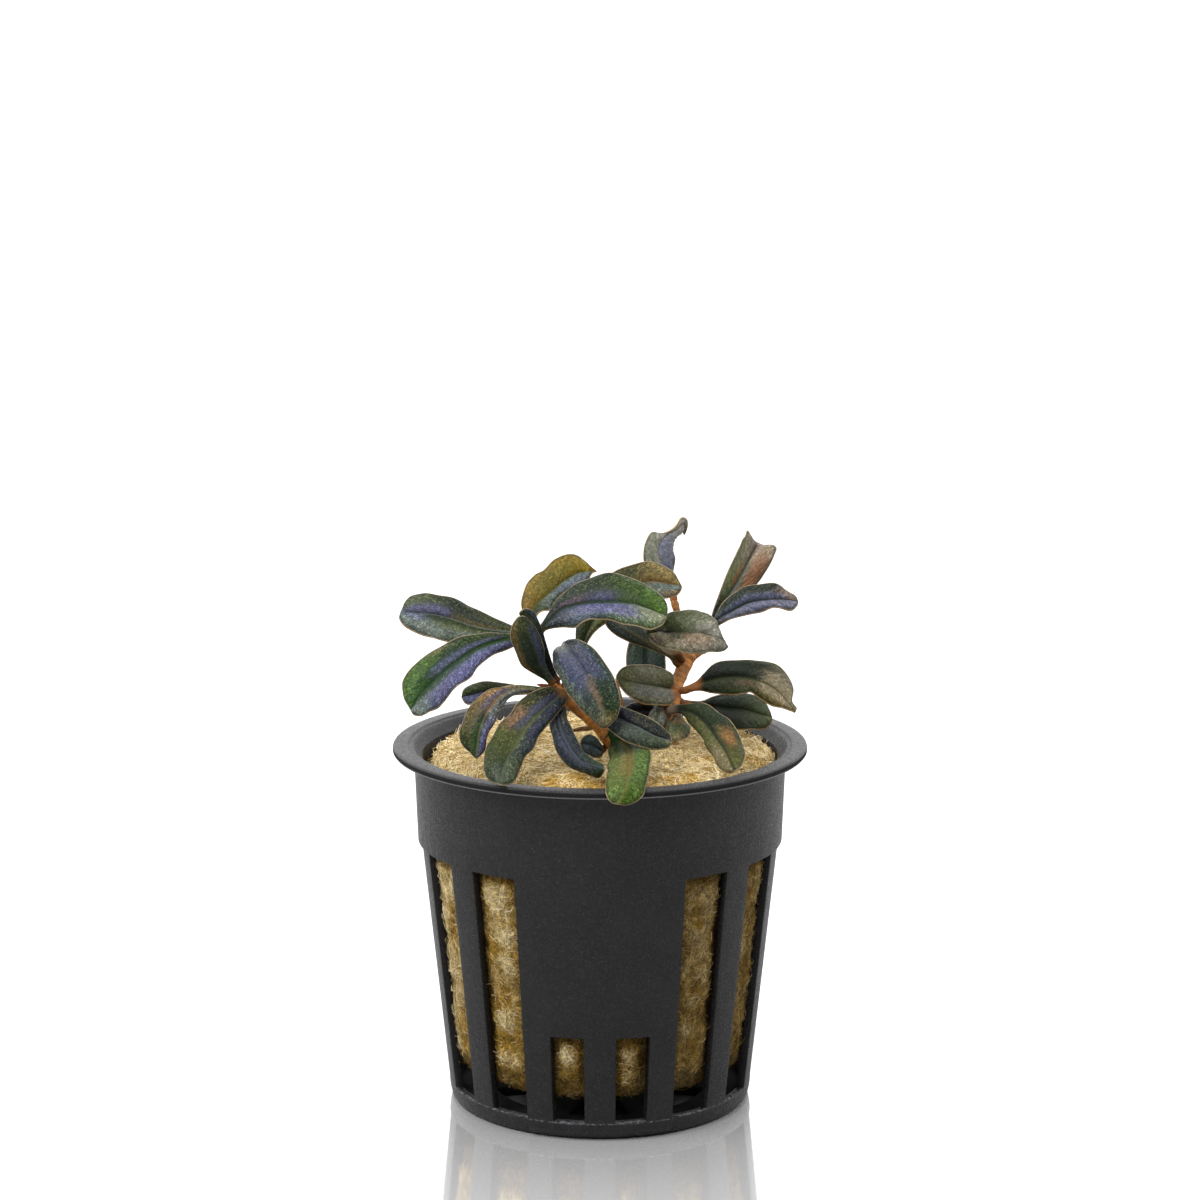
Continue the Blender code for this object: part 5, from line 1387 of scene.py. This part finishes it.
def wool_mesh(settings):
    """The plug, turned from its outline, lumpy, swollen into the slots and slit for the plant."""
    profile = wool_profile()
    slots = slot_sectors()
    points = [(0, 0, WOOL_LOW), (0, 0, WOOL_TOP)]
    for i, (radius, height) in enumerate(profile[1:-1], start=1):
        ahead = unit(profile[i + 1] - profile[i - 1])
        for k in range(WOOL_SEGMENTS):
            way = 2 * pi * k / WOOL_SEGMENTS
            x, y = radius * cos(way), radius * sin(way)
            spot = (x, y, height)
            rise = settings.lumps / MM * sum(size * lump(spot, scale, seed) for size, scale, seed in LUMPS)
            rise = min(rise, 0.3) + slot_room(way, height, slots) * settings.slot_swell / MM * (
                1 + 0.45 * lump(spot, 0.4, 5))
            out, up = ahead[1] * rise, -ahead[0] * rise
            out += RIGHT_SWELL * max(0.0, cos(way)) * (radius / WOOL_SHOULDER_RADIUS) ** 4 * clamped(
                (height - COLLAR_EDGE - 1.5) / 4)
            z = height + up
            if height > WOOL_TOP - 3 and x > SLIT_START:
                near = max(0.0, 1 - abs(y - SLIT_Y - 0.25 * lump((x, 0, 0), 0.5, 4)) / 1.1)
                z -= SLIT_DEPTH * near ** 1.5 * min(1.0, (x - SLIT_START) / 2)
                z += MOUND_HEIGHT * mound(x, y)
            points.append((x + out * cos(way), y + out * sin(way), z))
    faces = []
    last = len(points) - WOOL_SEGMENTS
    for k in range(WOOL_SEGMENTS):
        following = (k + 1) % WOOL_SEGMENTS
        faces += [(0, 2 + following, 2 + k), (1, last + k, last + following)]
        for low in range(2, last, WOOL_SEGMENTS):
            high = low + WOOL_SEGMENTS
            faces.append((low + k, low + following, high + following, high + k))
    return points, faces


def wool_material(settings, strands):
    """Stone wool: cream and ochre, by place, by lump and by strand, with painted light on top and painted
    shade toward the right, in the slit's crease, behind the struts and between the strands.
    """
    material, web, spot = new_material("stone wool strands" if strands else "stone wool body")
    cream, ochre = (*settings.cream, 1.0), (*settings.ochre, 1.0)
    mottle = mottled(web, spot, ochre, cream, 0.3, 1.3, 0.47, 0.13)
    x, y, z = web.split(spot)
    patch = mottle["Mask"] - 0.5
    front = web.step(y + patch * (5 * MM), -13 * MM, -18 * MM)
    on_top = web.step(z, 38 * MM, 41 * MM)
    on_side = 1.0 - on_top
    # Painted shade along the slit's crease, in ochre.
    painted_crease_shade = web.step(abs(y - (SLIT_Y - 0.6) * MM), 2.2 * MM, 0.5 * MM) * web.step(x, 0.0, 4 * MM)
    gold = web.math("MAXIMUM", front, painted_crease_shade) * 0.9
    top_pale = (mottle["Mask"] * 0.55 + 0.42) * (1.0 - gold)

    # Behind the slots the wool is painted lit cream where it swells out and golden where it lies back, into
    # deep painted shade right behind the struts
    foot, top = ((strut_radius(at) - WOOL_INSET) * MM for at in (0, COLLAR_EDGE))
    flat = web.slope(z, 0.0, COLLAR_EDGE * MM, foot, top)
    proud = web.length(web.xyz(x, y, 0.0)) - flat
    side_cream_and_light = web.step(proud, 0.4 * MM, 1.0 * MM, 0.0, 0.85) + patch * 0.3
    # Painted shade: less cream and dimmer toward the right, away from the light.
    side_cream_and_light = side_cream_and_light * web.step(x, 2 * MM, 13 * MM, 0.92, 0.35)
    dim = web.math("MAXIMUM", on_top, web.step(x, 0.0, 12 * MM, 0.8, 0.5))
    pale = web.math("ADD", on_top * top_pale, on_side * side_cream_and_light, clamp=True)
    # Painted shade where the wool lies back behind the struts.
    back = web.step(proud, 0.6 * MM, 0.05 * MM) * on_side
    colour = web.blend(back * 0.75, web.blend(pale, ochre, cream), WOOL_RECESS_SHADE)

    # Painted light: brighter on top than on the sides.
    def painted_top_light(low, high):
        return web.step(z, 38 * MM, 41 * MM, low, high)

    height = mottle["Height"] * 0.25
    if strands:
        own = web.attribute("strand", "Fac")
        colour = web.blend(web.step(own, 0.5, 0.1, 0.0, 0.75), colour, ochre)
        # Each strand's own brightness, with painted light on top and painted shade toward the right.
        colour = web.lit(colour, web.step(own, 0.0, 1.0, 0.62, 1.35) * painted_top_light(0.84, 1.12) * dim)
        # Strands whiten where the wool is pale and, as painted light, on top.
        whiten = pale * 0.6 + painted_top_light(0.04, 0.3)
        colour = web.blend(web.step(own, 0.66, 0.9) * whiten, colour, WHITE_STRAND)
    else:
        fibre = web.group(fibre_pattern, {"Vector": spot})["Fibre"]
        # Painted shade between the strands and toward the right, lighter on top and on the fibres.
        shade = web.step(mottle["Height"], 0.35, 0.65, 0.4, 0.85) * dim * painted_top_light(0.75, 1.15)
        shade = shade * web.step(fibre, 0.0, 1.0, 0.7, 1.5)
        colour = web.lit(colour, shade, shade * 0.9, shade * 0.6)
        colour = web.blend(fibre * (pale * 0.6), colour, cream)
        height = height + fibre * 0.07
    return finish(material, web, colour, 0.8, height, 0.25)


def skinned(web, mesh, material):
    """The end of a geometry tree: a smooth, real mesh with its material."""
    smooth_mesh = web.geo("SetShadeSmooth", {"Geometry": mesh})
    real = web.geo("RealizeInstances", {"Geometry": smooth_mesh})
    return {"Geometry": web.geo("SetMaterial", {"Geometry": real, "Material": material})}


@node_group("Wool strands", {
    "Geometry": "Geometry", "Number Density": 1.0, "Length": 0.003, "Radius": 0.00005, "Bend": 0.001,
    "Bend Scale": 300.0, "Tilt": 0.1, "Reach Low": 0.017, "Reach High": 0.021, "Height": 0.043, "Seed": 0,
    "Points": 6, "Material": "Material"}, {"Geometry": "Geometry"}, "GeometryNodeTree")
def strand_tree(web, inlet):
    """Scatters bent strands over the faces marked as shown."""
    scatter = web.put("GeometryNodeDistributePointsOnFaces", {
        "Mesh": inlet["Geometry"], "Selection": web.named("shown", "BOOLEAN"),
        "Density": inlet["Number Density"], "Seed": inlet["Seed"]})
    line = web.geo("CurvePrimitiveLine", {"Start": (-0.5, 0, 0), "End": (0.5, 0, 0)})
    tilt = inlet["Tilt"] * -1.0
    turn = web.put("FunctionNodeRandomValue", {
        0: web.xyz(tilt, tilt, 0.0), 1: web.xyz(inlet["Tilt"], inlet["Tilt"], 2 * pi), "Seed": inlet["Seed"]},
        data_type="FLOAT_VECTOR")[0]
    spin = web.put("FunctionNodeEulerToRotation", {0: turn})[0]
    facing = web.put("FunctionNodeRotateRotation", {0: scatter["Rotation"], 1: spin},
                     rotation_space="LOCAL")[0]

    def chance(low, high, seed):
        return web.put("FunctionNodeRandomValue", {2: low, 3: high, "Seed": seed}, data_type="FLOAT")[1]

    length = chance(0.55, 1.35, 11) * inlet["Length"]
    strands = web.geo("InstanceOnPoints", {
        "Points": scatter["Points"], "Rotation": facing, "Scale": web.xyz(length, length, length),
        "Instance": web.geo("ResampleCurve", {"Curve": line, "Count": inlet["Points"]})})
    marked = web.geo("StoreNamedAttribute", {
        "Geometry": strands, "Name": "strand", "Value": chance(0, 1, 23)},
        data_type="FLOAT", domain="INSTANCE")
    real = web.geo("RealizeInstances", {"Geometry": marked})
    drift = web.put("ShaderNodeTexNoise", {
        "Vector": web.geo("InputPosition", {}), "W": web.named("strand") * 2.5,
        "Scale": inlet["Bend Scale"], "Detail": 1.0}, noise_dimensions="4D")["Color"]
    pull = web.scaled(web.arrow("SUBTRACT", drift, (0.5, 0.5, 0.5)), inlet["Bend"])
    moved = web.geo("SetPosition", {"Geometry": real, "Offset": pull})

    # How far out a strand may reach, between the reach at the pot's foot and that at its rim
    x, y, z = web.split(web.geo("InputPosition", {}))
    room = web.slope(z, 0.0, inlet["Height"], inlet["Reach Low"], inlet["Reach High"])
    out = web.math("MAXIMUM", web.length(web.xyz(x, y, 0.0)), 1e-6)
    share = web.math("MINIMUM", 1.0, room / out)
    held = web.geo("SetPosition", {"Geometry": moved, "Position": web.xyz(x * share, y * share, z)})
    ring = web.geo("CurvePrimitiveCircle", {"Resolution": 3, "Radius": inlet["Radius"]})
    tube = web.geo("CurveToMesh", {"Curve": held, "Profile Curve": ring, "Scale": 1.0, "Fill Caps": True})
    return skinned(web, tube, inlet["Material"])


def run_tree(host, tree, values, name, material):
    """Runs a geometry tree on an object once and keeps its result as a plain mesh."""
    modifier = host.modifiers.new(tree.name, "NODES")
    modifier.node_group = tree
    values["Material"] = material
    for item in tree.interface.items_tree:
        if item.in_out == "INPUT" and item.name in values:
            modifier[item.identifier] = values[item.name]
    host.update_tag()
    return settled(host, name, material)


def shown_copy(body, name, test):
    """A copy of the plug that holds only the faces that a test of their middle and normal marks."""
    mesh = bpy.data.meshes.new(name)
    area = []

    def work(form):
        gone = [f for f in form.faces if not test(f.calc_center_median() / MM, f.normal)]
        bmesh.ops.delete(form, geom=gone, context="FACES")
        area.append(sum(f.calc_area() for f in form.faces))
    reworked(mesh, work, body.data)
    layer = mesh.attributes.new("shown", "BOOLEAN", "FACE")
    layer.data.foreach_set("value", [True] * len(mesh.polygons))
    return linked(name, mesh), area[0]


# Stems


@node_group("Stem sweep", {
    "Geometry": "Geometry", "Sides": 16, "Knob Height": 0.0001, "Knob Scale": 900.0, "Ring Height": 0.00005,
    "Ring Spacing": 0.0015, "Material": "Material"}, {"Geometry": "Geometry"}, "GeometryNodeTree")
def stem_tree(web, inlet):
    """Sweeps a round section along a line, its radius from the attribute girth, with knobs and rings."""
    line = web.geo("MeshToCurve", {"Mesh": inlet["Geometry"]})
    measured = web.geo("StoreNamedAttribute", {
        "Geometry": line, "Name": "run", "Value": web.geo("SplineParameter", {}, "Length")},
        data_type="FLOAT", domain="POINT")
    ring = web.geo("CurvePrimitiveCircle", {"Resolution": inlet["Sides"], "Radius": 1.0})
    tube = web.geo("CurveToMesh", {"Curve": measured, "Profile Curve": ring, "Scale": web.named("girth"),
                                   "Fill Caps": True})
    spot = web.geo("InputPosition", {})
    knob = (web.noise(spot, inlet["Knob Scale"], 2.0, 0.55) - 0.5) * (inlet["Knob Height"] * 2.0)
    beat = web.named("run") / inlet["Ring Spacing"] * (2 * pi)
    scar = abs(web.math("COSINE", beat * 0.5 + web.noise(spot, 500.0, 1.0) * 5.0)) ** 6.0
    way = web.scaled(web.geo("InputNormal", {}), knob + scar * inlet["Ring Height"])
    knobbly = web.geo("SetPosition", {"Geometry": tube, "Offset": way})
    return skinned(web, knobbly, inlet["Material"])


def stem_material(name, first, second, rough):
    """Bark or stalk skin: two tones in streaks and spots."""
    material, web, spot = new_material(name)
    mottle = mottled(web, spot, first, second, 0.7, 4.0, 0.5, 0.14)
    run = web.attribute("run", "Fac")
    bands = web.noise(web.xyz(run / MM, 0.0, 0.0), 1.8, 2.0, 0.6)
    colour = web.lit(mottle["Color"], web.step(bands, 0.35, 0.65, 0.7, 1.15))
    rough = rough + (mottle["Mask"] - 0.5) * 0.2
    return finish(material, web, colour, rough, mottle["Height"] * 0.12, 0.3)


def grown_on(line, girth, length):
    """A stem's line and girth, run on past the last point to a blunt end."""
    way = unit(line[-1] - line[-2])
    extra = [line[-1] + way * length * share for share in (0.25, 0.5, 0.75, 1.0)]
    return np.vstack((line, extra)), np.append(girth, [girth[-1] * share for share in BLUNT_END])


# Operators


class PLANT_OT_net_pot(bpy.types.Operator):
    """Moulds the net pot with its slots, flange and drained floor"""
    bl_idname = "net_pot_plant.net_pot"
    bl_label = "Net pot"

    def execute(self, context):
        settings = context.scene.plant_pot
        host = new_piece("pot_cells", *pot_mesh(settings))

        def work(form):
            bmesh.ops.remove_doubles(form, verts=form.verts, dist=1e-7)
            bmesh.ops.dissolve_degenerate(form, edges=form.edges, dist=1e-7)
        reworked(host.data, work)
        outward(host.data)
        bevel = host.modifiers.new("Edge rounding", "BEVEL")
        bevel.width = settings.edge_round
        bevel.segments = 2
        bevel.limit_method = "ANGLE"
        bevel.angle_limit = radians(40)
        piece = settled(host, "net_pot_moulding", pot_material(settings))
        piece.data.shade_smooth()
        piece.data.set_sharp_from_angle(angle=radians(50))
        dress(piece, "net_pot")
        return {"FINISHED"}


class PLANT_OT_stone_wool(bpy.types.Operator):
    """Forms the stone wool plug"""
    bl_idname = "net_pot_plant.stone_wool"
    bl_label = "Stone wool"

    def execute(self, context):
        settings = context.scene.plant_wool
        piece = new_piece("stone_wool_body", *wool_mesh(settings), wool_material(settings, False))
        outward(piece.data)
        piece.data.shade_smooth()
        dress(piece, "stone_wool_plug")
        return {"FINISHED"}


class PLANT_OT_wool_strands(bpy.types.Operator):
    """Covers the stone wool with strands, on top and behind the slots"""
    bl_idname = "net_pot_plant.wool_strands"
    bl_label = "Wool strands"

    def execute(self, context):
        settings = context.scene.plant_wool
        body = bpy.data.objects.get("stone_wool_body")
        if body is None:
            raise RuntimeError("make the stone wool before its strands")
        material = wool_material(settings, True)
        slots = slot_sectors()

        def on_top(middle, normal):
            return middle.z > WOOL_TOP - 4.5

        def at_slots(middle, normal):
            if normal.z > 0.6 or middle.z > COLLAR_EDGE + 1.5:
                return False
            angle = (np.degrees(np.arctan2(middle.y, middle.x)) + 90) % 360
            return any(within(angle, m, half - 0.3) and middle.z < top + 0.5 for m, half, top in slots)

        def at_rim(middle, normal):
            return (middle.z > WOOL_TOP - 5
                    and np.hypot(middle.x, middle.y) > WOOL_SHOULDER_RADIUS - 2.5)

        regions = []
        for ending, *look in (("", on_top, settings.top_strands // 2, 1.0, 0.12, TOP_LOOK),
                              ("_slots", at_slots, settings.side_strands // 2, 0.85, 0.08, SLOT_LOOK)):
            regions += [("left" + ending, {False}, *look), ("right" + ending, {True}, *look)]
        regions.append(("loose", {False, True}, at_rim, LOOSE_STRANDS, 1.3, 0.5, TOP_LOOK))
        for seed, (region, on_right, test, count, stretch, tilt, look) in enumerate(regions, start=5):
            name = "wool_strands_" + region
            host, area = shown_copy(body, name + "_bed", lambda middle, normal: (
                (middle.x > 0) in on_right and test(middle, normal)))
            thick, points, bend, bend_scale, reach_low, reach_high = look
            values = {"Number Density": count / area, "Length": settings.strand_length * stretch,
                      "Radius": settings.strand_radius * thick, "Points": points, "Bend": bend * MM,
                      "Bend Scale": bend_scale, "Reach Low": reach_low * MM, "Reach High": reach_high * MM,
                      "Height": 43 * MM, "Tilt": tilt, "Seed": seed}
            dress(run_tree(host, strand_tree(), values, name, material), None)
        return {"FINISHED"}


class PLANT_OT_stems(bpy.types.Operator):
    """Grows the rhizomes, forks, stalks, root and bud"""
    bl_idname = "net_pot_plant.stems"
    bl_label = "Stems"

    def execute(self, context):
        settings = context.scene.plant_stem
        dark_bark = (*(0.35 * c for c in settings.bark), 1.0)
        rhizome = stem_material("rhizome bark", dark_bark, (*settings.bark, 1.0), 0.5)
        straw = stem_material("root skin", tone("rust"), tone("gold+tan"), 0.5)
        pink = stem_material("bud skin", tone("rust"), tone("rose+orange"), 0.4)
        looks = {"side_root": (straw, "root"), "golden_stalk": (straw, "root"), "pink_bud": (pink, "bud")}
        for name, route in STEMS.items():
            material, slot = looks.get(name, (rhizome, "rhizome"))
            points, radii = stem_line(route)
            run = run_along(points)
            at = np.linspace(0, run[-1], max(12, int(run[-1] / STEM_SPACING)))
            line, girth = columns_at(at, run, points), np.interp(at, run, radii)
            low, high = STEM_REACH[name]
            if low:
                line, girth = (part[::-1] for part in grown_on(line[::-1], girth[::-1], low))
            if high:
                line, girth = grown_on(line, girth, high)
            host = new_piece(name + "_line", line, [], edges=[(k, k + 1) for k in range(len(line) - 1)])
            layer = host.data.attributes.new("girth", "FLOAT", "POINT")
            layer.data.foreach_set("value", (girth * MM).tolist())
            thin = float(radii.max()) < 0.4
            values = {"Sides": settings.sides, "Knob Height": settings.knob_height * (0.35 if thin else 1.0),
                      "Knob Scale": 850.0, "Ring Height": 0.0 if thin else 0.07 * MM,
                      "Ring Spacing": settings.ring_spacing}
            piece = run_tree(host, stem_tree(), values, name + "_skin", material)
            outward(piece.data)
            dress(piece, name)
        return {"FINISHED"}


class PLANT_OT_left_leaves(bpy.types.Operator):
    """Grows the leaves of the left rosette"""
    bl_idname = "net_pot_plant.left_leaves"
    bl_label = "Left rosette"

    def execute(self, context):
        add_leaves(LEFT_LEAVES, context.scene.plant_leaf, 1)
        return {"FINISHED"}


class PLANT_OT_right_leaves(bpy.types.Operator):
    """Grows the leaves of the right rosette"""
    bl_idname = "net_pot_plant.right_leaves"
    bl_label = "Right rosette"

    def execute(self, context):
        add_leaves(RIGHT_LEAVES, context.scene.plant_leaf, 31)
        return {"FINISHED"}


class PLANT_OT_stage(bpy.types.Operator):
    """Sets the floor, the light and the camera"""
    bl_idname = "net_pot_plant.stage"
    bl_label = "Stage"

    def execute(self, context):
        scene = context.scene
        settings = scene.plant_stage

        # The floor is white and glossy to the camera alone, and throws little light on the pot. Its glow
        # fades out close to the pot, a painted contact shadow that also keeps the drains dark.
        material, web, spot = new_material("floor")
        low = (*(0.97 * c for c in settings.floor_colour), 1.0)
        colour = web.blend(web.noise(spot, 3.0), low, (*settings.floor_colour, 1.0))
        dim = (*(settings.floor_bounce * c for c in settings.floor_colour), 1.0)
        seen = web.put("ShaderNodeLightPath", {})["Is Camera Ray"]
        # Painted contact shadow: no glow close to the pot.
        glow = web.step(web.length(spot), 17 * MM, 45 * MM) * settings.floor_glow
        web.feed(material.node_tree.nodes["Principled BSDF"], {
            "Base Color": web.blend(seen, dim, colour), "Metallic": seen * settings.floor_gloss,
            "Roughness": 0.06, "Emission Color": WHITE, "Emission Strength": seen * glow})
        reach = FLOOR_REACH
        edge = [(-reach, -reach, 0), (reach, -reach, 0), (reach, reach, 0), (-reach, reach, 0)]
        floor = new_piece("floor", edge, [(0, 1, 2, 3)], material)

        scene.world = bpy.data.worlds.new("studio")
        scene.world.use_nodes = True
        web = Web(scene.world.node_tree)
        _, y, z = web.split(web.put("ShaderNodeTexCoord", {})["Generated"])
        behind = web.step(y, -0.35, 0.55, settings.front_share, 1.0)
        above = web.math("MAXIMUM", web.step(z, 0.25, 0.85, 0.0, settings.top_share),
                         web.step(z, 0.16, 0.34, settings.low_share, 0.0))
        seen = web.put("ShaderNodeLightPath", {})["Is Camera Ray"]
        glow = web.math("MAXIMUM", web.math("MAXIMUM", behind, above) * settings.surround, seen * 1.05)
        web.feed(web.tree.nodes["Background"], {"Strength": glow, "Color": WHITE})

        for name, spot, size, share in LAMPS:
            lamp = bpy.data.lights.new(name, "AREA")
            lamp.shape = "DISK"
            lamp.size = size
            lamp.energy = settings.key_power * share
            thing = linked(name, lamp)
            thing.location = Vector(spot) * MM
            aim = Vector((0, 0, 45)) * MM - thing.location
            thing.rotation_euler = aim.to_track_quat("-Z", "Y").to_euler()

        camera = bpy.data.cameras.new("camera")
        camera.sensor_width = SENSOR_WIDTH
        camera.lens = settings.focal_length
        camera.clip_start = 0.01
        camera.clip_end = 100.0
        scene.camera = linked("camera", camera)
        scene.camera.location = Vector((0, -EYE_BACK, EYE_HEIGHT)) * MM
        scene.camera.rotation_euler = (radians(90) - EYE_DIP, 0.0, 0.0)
        scene.view_settings.view_transform = "Standard"
        return {"FINISHED"}


class PLANT_PT_panel(bpy.types.Panel):
    """Lists the plant's operators in the 3D view's sidebar"""
    bl_label = "Net pot plant"
    bl_idname = "PLANT_PT_panel"
    bl_space_type = "VIEW_3D"
    bl_region_type = "UI"
    bl_category = "Net pot plant"

    def draw(self, context):
        for operator in OPERATORS:
            self.layout.operator(operator.bl_idname)
        for holder in SETTINGS:
            box = self.layout.box()
            settings = getattr(context.scene, holder)
            for key in settings.__annotations__:
                box.prop(settings, key)


OPERATORS = (PLANT_OT_net_pot, PLANT_OT_stone_wool, PLANT_OT_wool_strands, PLANT_OT_stems,
             PLANT_OT_left_leaves, PLANT_OT_right_leaves, PLANT_OT_stage)
SETTINGS = {"plant_pot": PotSettings, "plant_wool": WoolSettings, "plant_stem": StemSettings,
            "plant_leaf": LeafSettings, "plant_stage": StageSettings}


def register():
    for kind in (*SETTINGS.values(), *OPERATORS, PLANT_PT_panel):
        bpy.utils.register_class(kind)
    for holder, kind in SETTINGS.items():
        setattr(bpy.types.Scene, holder, bpy.props.PointerProperty(type=kind))


def unregister():
    for holder in SETTINGS:
        delattr(bpy.types.Scene, holder)
    for kind in reversed((*SETTINGS.values(), *OPERATORS, PLANT_PT_panel)):
        bpy.utils.unregister_class(kind)


def corners(box):
    """A box as two plain lists of numbers."""
    return [[float(c) for c in corner] for corner in box]


def main():
    """Builds the whole plant in order."""
    register()
    bpy.ops.net_pot_plant.net_pot()
    bpy.ops.net_pot_plant.stone_wool()
    bpy.ops.net_pot_plant.wool_strands()
    bpy.ops.net_pot_plant.stems()
    bpy.ops.net_pot_plant.left_leaves()
    bpy.ops.net_pot_plant.right_leaves()
    bpy.ops.net_pot_plant.stage()


if __name__ == "__main__":
    main()
